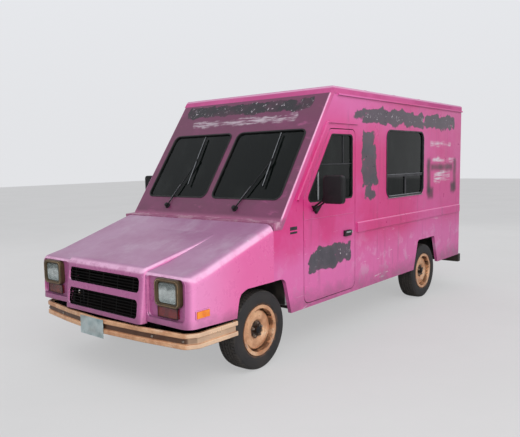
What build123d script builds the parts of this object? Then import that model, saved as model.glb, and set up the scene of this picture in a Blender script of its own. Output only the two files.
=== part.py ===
from build123d import *
import math
import os

# A walk-in van with a short sloping nose, built from separate panels on a low front-drive chassis.
# The nose points along -Y, +X is the van's left side, and Z is zero on the ground.
# Every length is in millimetres. A station is a distance along Y, measured back from the front axle.

# Overall sizes
body_width = 1940.0
body_height = 2420.0
wheelbase = 3263.0
nose_reach = 945.3
body_tail = 4380.0
skirt_z = 398.0

# Panels
wall = 35.0
skin_inset = 5.0
seam = 6.0
door_gap = 8.0
seat_gap = 0.3

# Roof and windshield slope
roof_rim_height = 68.0
roof_skin = 35.0
cowl_station = 264.0
cowl_z = 1220.0
roof_front = 1110.0
screen_thick = 50.0
cowl_depth = 70.0
pillar_round = 20.0
pane_thick = 6.0

# Front clip
clip_rear = 155.0
clip_skin = 10.0
fender_low_z = 532.0
arch_lip_z = 510.0
nose_low_z = 512.0
bulge_half_front = 492.0
bulge_half_rear = 600.0
fender_round = 82.0
fender_nose_round = 45.0
fender_ease = 700.0
ridge_round = 34.0
bulge_nose_round = 80.0

# Side profile of the fenders and of the bulge between them, as station and height
fender_profile = [
    (155.0, 1206.0),
    (-641.0, 954.0),
    (-842.0, 908.0),
    (-856.0, 480.0),
]
bulge_profile = [
    (155.0, 1186.0),
    (0.0, 1151.0),
    (-859.2, 933.4),
    (-918.0, 470.0),
]

# Wheels
tyre_radius = 334.0
tyre_width = 205.0
rim_radius = 212.0
rim_seat_radius = 190.0
barrel_radius = 180.0
wheel_inset = 23.0
hub_bore = 20.0
spin_gap = 0.3
stud_circle = 57.15
lug_count = 5
window_count = 4
window_ring = 152.0
window_half = 17.0
window_tall = 34.0

# Steering
king_inset = 14.5
joint_gap = 7.0
upright_low = 236.0
upright_top = 432.0
upright_half = 25.0
steer_arm = 80.0
steer_arm_low = 326.0
steer_arm_top = 346.0
rack_z = 362.0
rack_radius = 8.0
arm_half = 25.0

# Doors
door_front = 605.0
door_rear = 1510.0
door_low_z = 440.0
door_top_z = 2018.0
door_bend_z = 1385.0
door_slant = 225.0
door_thick = 35.0
door_low_round = 75.0
door_top_round = 55.0
window_slant = 281.0
window_round = 45.0
window_low_z = 1350.0
window_top_z = 1975.0
window_rear = 1467.0
gasket = 14.0

# Cargo side window
side_window = (2190.0, 3165.0, 1302.0, 2045.0)
side_window_round = 95.0
side_window_bar_z = 1545.0

# Rear end
rear_frame_depth = 40.0
rear_post = 95.0
rear_header = 130.0
rear_door_low_z = 475.0
bumper_stand_off = 8.0
rear_bumper_depth = 75.0

# Floor and frame
floor_z = 510.0
floor_thick = 40.0
rail_x = 400.0
rail_width = 60.0
rail_depth = 90.0
bulkhead = 362.0
bulkhead_thick = 25.0

half = body_width / 2
skin_x = half - skin_inset
wall_in = skin_x - wall
tail_reach = body_tail + bumper_stand_off + rear_bumper_depth
front_axle = -(tail_reach - nose_reach) / 2
rim_z = body_height - roof_rim_height
slope = (roof_front - cowl_station) / (body_height - cowl_z)
lean = math.atan(slope)
screen_back = screen_thick / math.cos(lean)
wheel_face = half - wheel_inset
wheel_mid = wheel_face - tyre_width / 2
king_x = wheel_mid - king_inset
floor_low = floor_z - floor_thick


def at(station):
    """The Y place of a station behind the front axle."""
    return front_axle + station


def screen_station(z):
    """The station of the windshield's outer plane at a height."""
    return cowl_station + slope * (z - cowl_z)


def outline(points):
    """A closed outline in the side view from station and height pairs."""
    Polygon(*[(at(s), z) for s, z in points], align=None)


def save(piece, label):
    """Names a piece and writes its STEP file."""
    piece.part.label = label
    export_step(piece.part, f"parts/{label}.step")


def save_mirrored(piece, label):
    """Writes the same piece for the other side of the van."""
    with BuildPart() as other:
        mirror(piece.part, about=Plane.YZ)
    save(other, label)


def side_plane(x):
    return Plane.YZ.offset(x)


os.makedirs("parts", exist_ok=True)

# Side walls: door and window openings, rear wheel arch, drip rail and belt moulding
arch_top_z = 745.0
arch_half_top = 245.0
arch_half_low = 362.0
rear_arch = wheelbase + 20.0
front_arch_rear_low = 405.0
front_arch_rear_top = 318.0
front_arch_top_z = 722.0
front_arch_round = 80.0
arch_corner = 45.0
belt_low_z = 998.0
belt_top_z = 1098.0
belt_proud = 18.0
drip_z = 2081.0
drip_back = 132.0
drip_proud = 18.0
drip_height = 16.0
gutter_front = 1180.0
gutter_height = 16.0
gutter_proud = 20.0


def door_points(grow):
    """The cab door's outline, grown all round by a gap."""
    shift = grow / math.cos(lean)
    front = door_front - grow
    bend = (front - door_slant + shift - cowl_station) / slope + cowl_z
    top = door_top_z + grow
    return [
        (front, door_low_z - grow),
        (front, bend),
        (screen_station(top) + door_slant - shift, top),
        (door_rear + grow, top),
        (door_rear + grow, door_low_z - grow),
    ]


def door_shape(grow):
    """Draws the cab door's outline with its round corners."""
    outline(door_points(grow))
    fillet(vertices().sort_by(Axis.Y)[:2], door_low_round + grow)
    fillet(vertices().sort_by(Axis.Y)[-2:], door_top_round + grow)


def window_points(shrink):
    """The cab door's window, drawn in by an edge."""
    shift = shrink / math.cos(lean)
    low, top = window_low_z + shrink, window_top_z - shrink
    return [
        (screen_station(low) + window_slant + shift, low),
        (screen_station(top) + window_slant + shift, top),
        (window_rear - shrink, top),
        (window_rear - shrink, low),
    ]


with BuildPart() as side_left:
    with BuildSketch(side_plane(wall_in)):
        outline(
            [
                (clip_rear + seam, front_arch_top_z),
                (clip_rear + seam, cowl_z - cowl_depth),
                (screen_station(cowl_z - cowl_depth) + screen_back, cowl_z - cowl_depth),
                (screen_station(rim_z) + screen_back, rim_z),
                (body_tail, rim_z),
                (body_tail, skirt_z),
                (rear_arch + arch_half_low, skirt_z),
                (rear_arch + arch_half_top, arch_top_z),
                (rear_arch - arch_half_top, arch_top_z),
                (rear_arch - arch_half_low, skirt_z),
                (front_arch_rear_low, skirt_z),
                (front_arch_rear_top, front_arch_top_z),
            ]
        )
    extrude(amount=wall)
    fillet(
        edges()
        .filter_by(Axis.X)
        .filter_by(lambda e: abs(e.center().Z - arch_top_z) < 1),
        arch_corner,
    )
    arch_edge = edges().filter_by(Axis.X).filter_by(
        lambda e: abs(e.center().Z - front_arch_top_z) < 1
        and abs(e.center().Y - at(front_arch_rear_top)) < 1
    )
    fillet(arch_edge, front_arch_round)
    with BuildSketch(side_plane(wall_in)):
        door_shape(door_gap)
    extrude(amount=wall, mode=Mode.SUBTRACT)
    with BuildSketch(side_plane(wall_in)):
        s0, s1, z0, z1 = side_window
        with Locations((at((s0 + s1) / 2), (z0 + z1) / 2)):
            RectangleRounded(s1 - s0, z1 - z0, side_window_round)
    extrude(amount=wall, mode=Mode.SUBTRACT)
    with BuildSketch(side_plane(skin_x)):
        belt_front = door_rear + 35
        outline(
            [
                (belt_front, belt_low_z),
                (belt_front, belt_top_z),
                (body_tail - wall, belt_top_z),
                (body_tail - wall, belt_low_z),
            ]
        )
    extrude(amount=belt_proud)
    belt_edge = edges().filter_by(Axis.Y).filter_by(
        lambda e: e.center().X > skin_x + belt_proud - 1 and abs(e.center().Z - belt_top_z) < 1
    )
    fillet(belt_edge, belt_proud - 3)
    gutter_length = body_tail - gutter_front
    with Locations(
        (
            skin_x + gutter_proud / 2 - 1,
            at(gutter_front + gutter_length / 2),
            rim_z - gutter_height / 2,
        )
    ):
        Box(gutter_proud + 2, gutter_length, gutter_height)
    with BuildSketch(side_plane(skin_x)):
        with BuildLine():
            drip_low = (at(screen_station(door_bend_z) + drip_back), door_bend_z)
            drip_bend = (at(screen_station(drip_z) + drip_back), drip_z)
            drip_end = (at(door_rear + 35), drip_z)
            Polyline(drip_low, drip_bend, drip_end)
            offset(amount=drip_height / 2)
        make_face()
    extrude(amount=drip_proud)
save(side_left, "side_wall_left")
save_mirrored(side_left, "side_wall_right")

# Roof: a tray turned over, whose rim rests on the walls
with BuildPart() as roof:
    with BuildSketch(side_plane(-half)):
        outline(
            [
                (screen_station(rim_z), rim_z),
                (roof_front, body_height),
                (body_tail, body_height),
                (body_tail, rim_z),
            ]
        )
    extrude(amount=body_width)
    top_edges = edges().filter_by(lambda e: abs(e.center().Z - body_height) < 1)
    fillet(top_edges, 22)
    with BuildSketch(side_plane(-half + 60)):
        outline(
            [
                (screen_station(rim_z) + 110, rim_z),
                (screen_station(rim_z) + 130, body_height - roof_skin),
                (body_tail - 60, body_height - roof_skin),
                (body_tail - 60, rim_z),
            ]
        )
    extrude(amount=body_width - 120, mode=Mode.SUBTRACT)
save(roof, "roof")

# Windshield frame: the sloping front panel with the cowl ledge and two openings
pane_low, pane_top = 203.0, 978.0
pane_in, pane_out = 34.0, half - 102.0
pane_round = 70.0
screen_plane = Plane(
    origin=(0, at(cowl_station), cowl_z),
    x_dir=(1, 0, 0),
    z_dir=(0, -math.cos(lean), math.sin(lean)),
)


def pane_sketch(grow):
    """Both windshield openings on the sloping plane, grown all round."""
    middle = (pane_low + pane_top) / 2
    for side in (-1, 1):
        with Locations((side * (pane_in + pane_out) / 2, middle)):
            RectangleRounded(
                pane_out - pane_in + 2 * grow,
                pane_top - pane_low + 2 * grow,
                pane_round + grow,
            )


with BuildPart() as screen_frame:
    with BuildSketch(side_plane(-half)):
        outline(
            [
                (clip_rear + seam, cowl_z - cowl_depth),
                (clip_rear + seam, cowl_z - 6),
                (cowl_station, cowl_z),
                (screen_station(rim_z), rim_z),
                (screen_station(rim_z) + screen_back, rim_z),
                (screen_station(cowl_z - cowl_depth) + screen_back, cowl_z - cowl_depth),
            ]
        )
    extrude(amount=body_width)
    pillars = edges().filter_by(
        lambda e: abs(abs(e.center().X) - half) < 1
        and e.length > 1000
        and e.center().Y < at(screen_station(e.center().Z) + screen_back / 2)
    )
    fillet(pillars, pillar_round)
    with BuildSketch(screen_plane):
        pane_sketch(0)
    extrude(amount=-screen_thick - 5, mode=Mode.SUBTRACT)
save(screen_frame, "windshield_frame")

# Windshield panes, and the rubber that holds them in the frame
pane_depth = 12.0
with BuildPart() as panes:
    with BuildSketch(screen_plane.offset(-pane_depth - pane_thick)):
        pane_sketch(-gasket)
    extrude(amount=pane_thick)
save(panes, "windshield_panes")

with BuildPart() as pane_rubber:
    with BuildSketch(screen_plane.offset(-pane_depth - 2 * pane_thick)):
        pane_sketch(0)
        for side in (-1, 1):
            with Locations((side * (pane_in + pane_out) / 2, (pane_low + pane_top) / 2)):
                RectangleRounded(
                    pane_out - pane_in - 2 * gasket,
                    pane_top - pane_low - 2 * gasket,
                    pane_round - gasket,
                    mode=Mode.SUBTRACT,
                )
    extrude(amount=pane_depth + 2 * pane_thick + 4)
save(pane_rubber, "windshield_rubber")

# Bulkhead between the engine bay and the cab
with BuildPart() as bulkhead_part:
    with BuildSketch(Plane.XZ.offset(-at(bulkhead))):
        with Locations((0, (floor_low + cowl_z - cowl_depth) / 2)):
            Rectangle(2 * wall_in, cowl_z - cowl_depth - floor_low)
    extrude(amount=-bulkhead_thick)
save(bulkhead_part, "bulkhead")

# Floor, notched for the rear wheelhouses
house_in = wall_in - 290.0
house_half = 400.0
house_top = 770.0
with BuildPart() as floor:
    with BuildSketch(Plane.XY.offset(floor_low)):
        front_edge, rear_edge = bulkhead + bulkhead_thick, body_tail - rear_frame_depth
        with Locations((0, at((front_edge + rear_edge) / 2))):
            Rectangle(2 * wall_in, rear_edge - front_edge)
        for side in (-1, 1):
            with Locations((side * (house_in + wall_in) / 2, at(rear_arch))):
                Rectangle(wall_in - house_in, 2 * house_half, mode=Mode.SUBTRACT)
    extrude(amount=floor_thick)
save(floor, "floor")

# Wheelhouses: open boxes over the four wheels, with strut towers at the front
sheet = 6.0
front_house_in = wall_in - 385.0
front_house_half = 395.0
front_house_top = 722.0
tower_in, tower_out, tower_half = wall_in - 374.0, wall_in - 230.0, 125.0
tower_top = 895.0


def sheet_box(x_in, x_out, front, rear, low, top, mode=Mode.ADD):
    """A box on the left side between stations and heights."""
    with Locations(((x_in + x_out) / 2, at((front + rear) / 2), (low + top) / 2)):
        Box(x_out - x_in, rear - front, top - low, mode=mode)


with BuildPart() as rear_houses:
    front, rear = rear_arch - house_half, rear_arch + house_half
    sheet_box(house_in, wall_in, front, rear, floor_low, house_top)
    sheet_box(
        house_in + sheet,
        wall_in,
        front + sheet,
        rear - sheet,
        floor_low,
        house_top - sheet,
        Mode.SUBTRACT,
    )
    mirror(about=Plane.YZ)

house_low = 475.0
house_out = half - 45
with BuildPart() as front_houses:
    front, rear = -front_house_half, bulkhead
    sheet_box(front_house_in, house_out, front, rear, house_low, front_house_top)
    sheet_box(
        tower_in - sheet,
        tower_out + sheet,
        -tower_half - sheet,
        tower_half + sheet,
        front_house_top - 1,
        tower_top,
    )
    sheet_box(
        front_house_in + sheet,
        house_out,
        front + sheet,
        rear - sheet,
        house_low,
        front_house_top - sheet,
        Mode.SUBTRACT,
    )
    sheet_box(
        tower_in,
        tower_out,
        -tower_half,
        tower_half,
        front_house_top - 2 * sheet,
        tower_top - sheet,
        Mode.SUBTRACT,
    )
    mirror(about=Plane.YZ)
    add(rear_houses.part)
save(front_houses, "wheelhouses")

# Rear frame: the portal that the two rear doors close
portal_half = wall_in - rear_post
portal_top = rim_z - rear_header
with BuildPart() as rear_frame:
    with BuildSketch(Plane.XZ.offset(-at(body_tail))):
        with Locations((0, (skirt_z + rim_z) / 2)):
            Rectangle(2 * wall_in, rim_z - skirt_z)
        with Locations((0, (rear_door_low_z - door_gap + portal_top) / 2)):
            Rectangle(
                2 * portal_half, portal_top - rear_door_low_z + door_gap, mode=Mode.SUBTRACT
            )
    extrude(amount=rear_frame_depth)
save(rear_frame, "rear_frame")

# Rear doors, each with a window
rear_door_thick = 35.0
edge_break = 2.0
rear_door_top = portal_top - door_gap
rear_window = (170.0, 690.0, 1330.0, 1960.0)
with BuildPart() as rear_door:
    with BuildSketch(Plane.XZ.offset(-at(body_tail))):
        low, top = rear_door_low_z, rear_door_top
        inner, outer = door_gap / 2, portal_half - door_gap
        with Locations(((inner + outer) / 2, (low + top) / 2)):
            Rectangle(outer - inner, top - low)
        x0, x1, z0, z1 = rear_window
        with Locations(((x0 + x1) / 2, (z0 + z1) / 2)):
            RectangleRounded(x1 - x0, z1 - z0, 60, mode=Mode.SUBTRACT)
    extrude(amount=rear_door_thick)
    hinge_edge = edges().filter_by(Axis.Z).filter_by(
        lambda e: abs(e.center().X - outer) < 0.1 and e.center().Y > at(body_tail) - 0.1
    )
    chamfer(hinge_edge, edge_break)
save(rear_door, "rear_door_left")
save_mirrored(rear_door, "rear_door_right")

with BuildPart() as rear_glass:
    x0, x1, z0, z1 = rear_window
    with BuildSketch(Plane.XZ.offset(-at(body_tail - 14))):
        with Locations(((x0 + x1) / 2, (z0 + z1) / 2)):
            RectangleRounded(x1 - x0, z1 - z0, 60)
    extrude(amount=pane_thick)
save(rear_glass, "rear_glass_left")
save_mirrored(rear_glass, "rear_glass_right")

# Cab doors
def window_block(shrink, inner, thick, mode=Mode.ADD):
    """Extrudes the cab door's window outline outward from a plane."""
    with BuildSketch(side_plane(inner)) as shape:
        outline(window_points(shrink))
        fillet(vertices(), window_round - shrink)
    extrude(shape.sketch, amount=thick, dir=(1, 0, 0), mode=mode)


with BuildPart() as door_left:
    with BuildSketch(side_plane(skin_x - door_thick)):
        door_shape(0)
    extrude(amount=door_thick)
    window_block(0, skin_x - door_thick, door_thick, Mode.SUBTRACT)
save(door_left, "door_left")
save_mirrored(door_left, "door_right")

# Door window: one pane, held in rubber
with BuildPart() as door_glass:
    window_block(gasket, skin_x - 20, pane_thick)
save(door_glass, "door_glass_left")
save_mirrored(door_glass, "door_glass_right")

with BuildPart() as door_trim:
    window_block(0, skin_x - 26, 28)
    window_block(gasket, skin_x - 26, 28, Mode.SUBTRACT)

# Door handle, on the same black trim
handle_front, handle_rear, handle_z, handle_tall = 1288.0, 1414.0, 1010.0, 56.0
with door_trim:
    with Locations((skin_x + 11, at((handle_front + handle_rear) / 2), handle_z)):
        Box(22, handle_rear - handle_front, handle_tall)
save(door_trim, "door_trim_left")
save_mirrored(door_trim, "door_trim_right")

# Hinge pins in the gaps at the hinged edges of the cab doors and the rear doors
pin_radius = door_gap / 2 - seat_gap
cab_pin_x = skin_x - pin_radius
rear_pin_x = portal_half - door_gap / 2
cab_pin_heights = (door_low_z + 120, door_bend_z - 145)
rear_pin_heights = (
    rear_door_low_z + 145,
    (rear_door_low_z + rear_door_top) / 2,
    rear_door_top - 154,
)
with BuildPart() as pins:
    for side in (-1, 1):
        for z in cab_pin_heights:
            with Locations((side * cab_pin_x, at(door_front - door_gap / 2), z)):
                Cylinder(pin_radius, 80)
        for z in rear_pin_heights:
            with Locations((side * rear_pin_x, at(body_tail) - pin_radius, z)):
                Cylinder(pin_radius, 80)
save(pins, "door_hinge_pins")

# Side windows
with BuildPart() as side_glass:
    with BuildSketch(side_plane(skin_x - 20)):
        s0, s1, z0, z1 = side_window
        with Locations((at((s0 + s1) / 2), (z0 + z1) / 2)):
            RectangleRounded(
                s1 - s0 - 2 * gasket, z1 - z0 - 2 * gasket, side_window_round - gasket
            )
    extrude(amount=pane_thick)
    mirror(about=Plane.YZ)
save(side_glass, "side_window_panes")

with BuildPart() as side_trim:
    with BuildSketch(side_plane(skin_x - 26)):
        s0, s1, z0, z1 = side_window
        with Locations((at((s0 + s1) / 2), (z0 + z1) / 2)):
            RectangleRounded(s1 - s0, z1 - z0, side_window_round)
            RectangleRounded(
                s1 - s0 - 2 * gasket,
                z1 - z0 - 2 * gasket,
                side_window_round - gasket,
                mode=Mode.SUBTRACT,
            )
    extrude(amount=32)
    bar_depth = 10.0
    with BuildSketch(side_plane(skin_x - 14 + seat_gap)):
        with Locations((at((s0 + s1) / 2), side_window_bar_z)):
            Rectangle(s1 - s0 - 2, 34)
        with Locations((at((s0 + s1) / 2), (z0 + side_window_bar_z) / 2)):
            Rectangle(34, side_window_bar_z - z0 - 2)
    extrude(amount=bar_depth)
    mirror(about=Plane.YZ)
save(side_trim, "side_window_frames")


# Front clip: fenders and nose in one hollow moulding that tilts forward
def near(vertex, place):
    """Whether a vertex of a side-view sketch lies at a station and height."""
    goal = Vector(at(place[0]), place[1])
    flat = Vector(vertex.X, vertex.Y)
    upright = Vector(vertex.Y, vertex.Z)
    return min((flat - goal).length, (upright - goal).length) < 0.5


def clip_solid(inset):
    """The front clip's outer form, drawn in by an inset: the fender block and the bulge."""
    side = half - inset
    with BuildPart() as block:
        with BuildSketch(side_plane(-side)):
            rear = [(clip_rear, fender_profile[-1][1])]
            tops = [(s, z - inset) for s, z in fender_profile[:2]]
            nose = [(s + inset, z - inset) for s, z in fender_profile[2:]]
            outline(rear + tops + nose)
            corner = vertices().filter_by(lambda v: near(v, nose[0]))
            fillet(corner, fender_nose_round - inset)
            bend = vertices().filter_by(lambda v: near(v, tops[-1]))
            fillet(bend, fender_ease)
        extrude(amount=2 * side)
        outer_edges = edges().filter_by(
            lambda e: abs(abs(e.center().X) - side) < 1
            and e.center().Y < at(clip_rear - 5)
            and e.center().Z > fender_profile[-1][1] + 20
        )
        fillet(outer_edges, fender_round - inset)
    with BuildPart() as bulge:
        with BuildSketch(side_plane(-bulge_half_rear)):
            rear = [(clip_rear, bulge_profile[-1][1])]
            tops = [(s, z - inset) for s, z in bulge_profile[:2]]
            crown, foot = bulge_profile[2:]
            nose = [(crown[0] + inset, crown[1] - inset), (foot[0] + inset, foot[1])]
            outline(rear + tops + nose)
            corner = vertices().filter_by(lambda v: near(v, nose[0]))
            fillet(corner, bulge_nose_round - inset)
        extrude(amount=2 * bulge_half_rear)
        with BuildSketch(Plane.XY.offset(bulge_profile[-1][1] - 20)):
            rear_y, front_y = at(clip_rear + 1), at(bulge_profile[-1][0] - 20)
            wide, narrow = bulge_half_rear - inset, bulge_half_front - inset
            Polygon(
                (-wide, rear_y), (-narrow, front_y), (narrow, front_y), (wide, rear_y), align=None
            )
        extrude(amount=900, mode=Mode.INTERSECT)
        ridges = edges().filter_by(
            lambda e: abs(e.center().X) > bulge_half_front - inset - 5
            and e.center().Y < at(clip_rear - 5)
            and e.center().Z > bulge_profile[-1][1] + 20
        )
        fillet(ridges, ridge_round - inset)
    return block, bulge


nose_inner = 902.0
hood_pin_station = 890.0
hood_pin_z = 526.0
hood_pin_radius = 6.0
hood_lug_x = 412.0
rail_front, rail_rear = -813.0, body_tail - 45
upper_grille = (462.0, 745.0, 864.0)
lower_grille = (454.0, 545.0, 693.0)
grille_round = 36.0
pocket = (bulge_half_front + 24, half - 48, 572.0, 890.0)
pocket_floor = 822.0
pocket_round = 40.0
pan_wall = 6.0
with BuildPart() as clip:
    outer_block, outer_bulge = clip_solid(0)
    add(outer_block.part)
    add(outer_bulge.part)
    inner_block, inner_bulge = clip_solid(clip_skin)
    add(inner_block.part, mode=Mode.SUBTRACT)
    add(inner_bulge.part, mode=Mode.SUBTRACT)
    with Locations((0, at(-600), nose_low_z - 100)):
        Box(2 * bulge_half_front + 60, 900, 200, mode=Mode.SUBTRACT)
    for start in (bulge_half_front + 12, -half - 10):
        with BuildSketch(side_plane(start)):
            outline(
                [
                    (clip_rear + 20, front_arch_top_z),
                    (-192, front_arch_top_z),
                    (-228, 712),
                    (-272, 692),
                    (-292, 660),
                    (-308, 605),
                    (-326, arch_lip_z),
                    (fender_profile[-1][0] - 40, fender_low_z),
                    (fender_profile[-1][0] - 40, 300),
                    (clip_rear + 20, 300),
                ]
            )
        extrude(amount=half - bulge_half_front - 2, mode=Mode.SUBTRACT)
    for reach, low, top in (upper_grille, lower_grille):
        with BuildSketch(Plane.XZ.offset(-at(-830))):
            with Locations((0, (low + top) / 2)):
                RectangleRounded(2 * reach, top - low, grille_round)
        extrude(amount=100, mode=Mode.SUBTRACT)
    x0, x1, z0, z1 = pocket
    wide, tall, deep = x1 - x0, z1 - z0, 836 - pocket_floor
    for side in (-1, 1):
        with BuildSketch(Plane.XZ.offset(-at(pan_wall - pocket_floor))):
            with Locations((side * (x0 + x1) / 2, (z0 + z1) / 2)):
                RectangleRounded(wide + 2 * pan_wall, tall + 2 * pan_wall, pocket_round + pan_wall)
        extrude(amount=deep + pan_wall)
        with BuildSketch(Plane.XZ.offset(-at(-pocket_floor))):
            with Locations((side * (x0 + x1) / 2, (z0 + z1) / 2)):
                RectangleRounded(wide, tall, pocket_round)
        extrude(amount=60, mode=Mode.SUBTRACT)
    for side in (-1, 1):
        with Locations((side * (hood_lug_x + 6), at(-(nose_inner + hood_pin_station) / 2 + 6), 522)):
            Box(12, nose_inner - hood_pin_station + 12, 20)
        with Locations((side * (hood_lug_x + 6), at(-hood_pin_station), hood_pin_z)):
            Cylinder(hood_pin_radius + seat_gap, 40, rotation=(0, 90, 0), mode=Mode.SUBTRACT)
save(clip, "front_clip")

# Hood brackets: arms from the frame rails with the pins that the clip tilts on
with BuildPart() as brackets:
    for side in (-1, 1):
        inner = hood_lug_x - 16
        start = inner if side > 0 else -inner - 12
        with BuildSketch(side_plane(start)):
            outline(
                [
                    (-hood_pin_station + 4, hood_pin_z + 9),
                    (rail_front, floor_low + 22),
                    (rail_front + 48, floor_low + 22),
                    (rail_front + 48, floor_low + seat_gap),
                    (rail_front - 7, floor_low + seat_gap),
                    (-hood_pin_station - 5, hood_pin_z - 8.7),
                ]
            )
            with Locations((at(-hood_pin_station), hood_pin_z)):
                Circle(9)
        extrude(amount=12)
        with Locations((side * (inner + 18), at(-hood_pin_station), hood_pin_z)):
            Cylinder(hood_pin_radius, 24, rotation=(0, 90, 0))

# Grille: a slatted panel on the inner side of the clip's front, behind both openings
grille_low, grille_top = 541.0, 872.0
grille_half = 455.0
grille_deep = 12.0
slat_pitch = 24.0
slat = 7.0
face_low = (bulge_profile[-1][0] + clip_skin, bulge_profile[-1][1])
face_top = (bulge_profile[-2][0] + clip_skin, bulge_profile[-2][1] - clip_skin)
face_run = face_low[0] - face_top[0]
face_rise = face_low[1] - face_top[1]
face_length = math.hypot(face_run, face_rise)
grille_plane = Plane(
    origin=(0, at(face_top[0]), face_top[1]),
    x_dir=(1, 0, 0),
    z_dir=(0, face_rise / face_length, -face_run / face_length),
)
with BuildPart() as grille:
    with BuildSketch(grille_plane):
        v_low = grille_low - face_top[1]
        v_top = grille_top - face_top[1]
        with Locations((0, (v_low + v_top) / 2)):
            Rectangle(2 * grille_half, v_top - v_low)
            Rectangle(2 * grille_half - 20, v_top - v_low - 20, mode=Mode.SUBTRACT)
            with GridLocations(0, slat_pitch, 1, int((v_top - v_low) / slat_pitch)):
                Rectangle(2 * grille_half, slat)
            with GridLocations(190, 0, 5, 1):
                Rectangle(slat, v_top - v_low)
    extrude(amount=-grille_deep)
save(grille, "grille")

# Lamps in the clip's pockets
lamp_x, lamp_z = half - 216, 780.0
lens_wide, lens_tall, lens_round = 192.0, 158.0, 24.0
bezel_wide, bezel_tall, bezel_round, bezel_deep = 270.0, 214.0, 46.0, 44.0
lens_deep = 34.0
with BuildPart() as headlights:
    with BuildSketch(Plane.XZ.offset(-at(-pocket_floor))):
        for side in (-1, 1):
            with Locations((side * lamp_x, lamp_z)):
                RectangleRounded(lens_wide, lens_tall, lens_round)
    extrude(amount=lens_deep)
    rim = edges().filter_by(lambda e: abs(e.center().Y - at(-pocket_floor - lens_deep)) < 0.1)
    fillet(rim, 7)
save(headlights, "headlights")

with BuildPart() as bezels:
    with BuildSketch(Plane.XZ.offset(-at(-pocket_floor))):
        for side in (-1, 1):
            with Locations((side * lamp_x, lamp_z)):
                RectangleRounded(bezel_wide, bezel_tall, bezel_round)
                RectangleRounded(
                    lens_wide + 2 * seat_gap,
                    lens_tall + 2 * seat_gap,
                    lens_round + seat_gap,
                    mode=Mode.SUBTRACT,
                )
    extrude(amount=bezel_deep)
    rim = edges().filter_by(lambda e: abs(e.center().Y - at(-pocket_floor - bezel_deep)) < 0.1)
    fillet(rim, 9)
save(bezels, "lamp_bezels")

turn_x, turn_z, turn_wide, turn_tall, turn_deep = half - 228, 630.0, 210.0, 74.0, 22.0
marker_station, marker_z, marker_long, marker_tall = -709.0, 628.0, 130.0, 50.0
with BuildPart() as turn_lamps:
    for side in (-1, 1):
        with Locations((side * turn_x, at(-pocket_floor - turn_deep / 2), turn_z)):
            Box(turn_wide, turn_deep, turn_tall)
        with Locations((side * (half + 6), at(marker_station), marker_z)):
            Box(12, marker_long, marker_tall)
save(turn_lamps, "turn_lamps")

# Front bumper: two beads with a channel between them, bent round the corners
bumper_path = [
    (0.0, 945.0, 700.0),
    (500.0, 899.0, 300.0),
    (half - 65, 838.0, 70.0),
    (half - 2, 745.0, 60.0),
    (half + 6, 325.0, 0.0),
]
bumper_low, bumper_top = 372.0, 492.0
bumper_bead = 38.0
bumper_channel = 13.0
bead_round = 9.0
plate_thick = 3.0
bumper_wall = 22.0


bumper_line = Wire.make_polygon([(x, at(-s)) for x, s, r in bumper_path], close=False)


def on_bumper_face(place):
    """Whether a point lies on the bumper's outer face, and not on its back."""
    away = bumper_line.distance_to(Vector(abs(place.X), place.Y, 0))
    return away < bumper_wall / 2


def bumper_band(inset, low, top):
    """A band along the bumper's path, between two heights."""
    with BuildSketch(Plane.XY.offset(low)) as band:
        right = [(x, at(-s)) for x, s, r in bumper_path]
        left = [(-x, at(-s)) for x, s, r in reversed(bumper_path[1:])]
        Polygon(*(left + right), align=None)
        for x, s, r in bumper_path:
            if r:
                near = vertices().filter_by(
                    lambda v: abs(abs(v.X) - x) < 0.5 and abs(v.Y - at(-s)) < 0.5
                )
                fillet(near, r)
        if inset:
            offset(amount=-inset, mode=Mode.REPLACE)
        offset(amount=-bumper_wall + inset, mode=Mode.SUBTRACT)
        with Locations((0, at(-bumper_path[-1][1] - 15))):
            Rectangle(2 * half - 60, 60 + 2 * inset, mode=Mode.SUBTRACT)
    extrude(band.sketch, amount=top - low, dir=(0, 0, 1))


with BuildPart() as front_bumper:
    for low in (bumper_low, bumper_top - bumper_bead):
        bumper_band(0, low, low + bumper_bead)
    beads = edges().filter_by(
        lambda e: e.center().Y < at(-bumper_path[-1][1] - 20)
        and abs((e @ 0).Z - (e @ 1).Z) < 0.1
        and on_bumper_face(e @ 0.5)
    )
    fillet(beads, bead_round)
    bumper_band(bumper_channel, bumper_low + bumper_bead - 1, bumper_top - bumper_bead + 1)
    for side in (-1, 1):
        with Locations((side * rail_x, at(-850), 425)):
            Box(60, 74, 50)
save(front_bumper, "front_bumper")

with BuildPart() as plate:
    with Locations((-75, at(-nose_reach + plate_thick / 2), 412)):
        Box(305, plate_thick, 152)
save(plate, "blank_plate")

# Rear step bumper
with BuildPart() as rear_bumper:
    y_mid = at(body_tail + bumper_stand_off + rear_bumper_depth / 2)
    with Locations((0, y_mid, 342)):
        Box(2 * half - 20, rear_bumper_depth, 105)
    for side in (-1, 1):
        with Locations((side * rail_x, at(body_tail - 46), 355)):
            Box(60, 110, 50)
save(rear_bumper, "rear_bumper")

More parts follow.
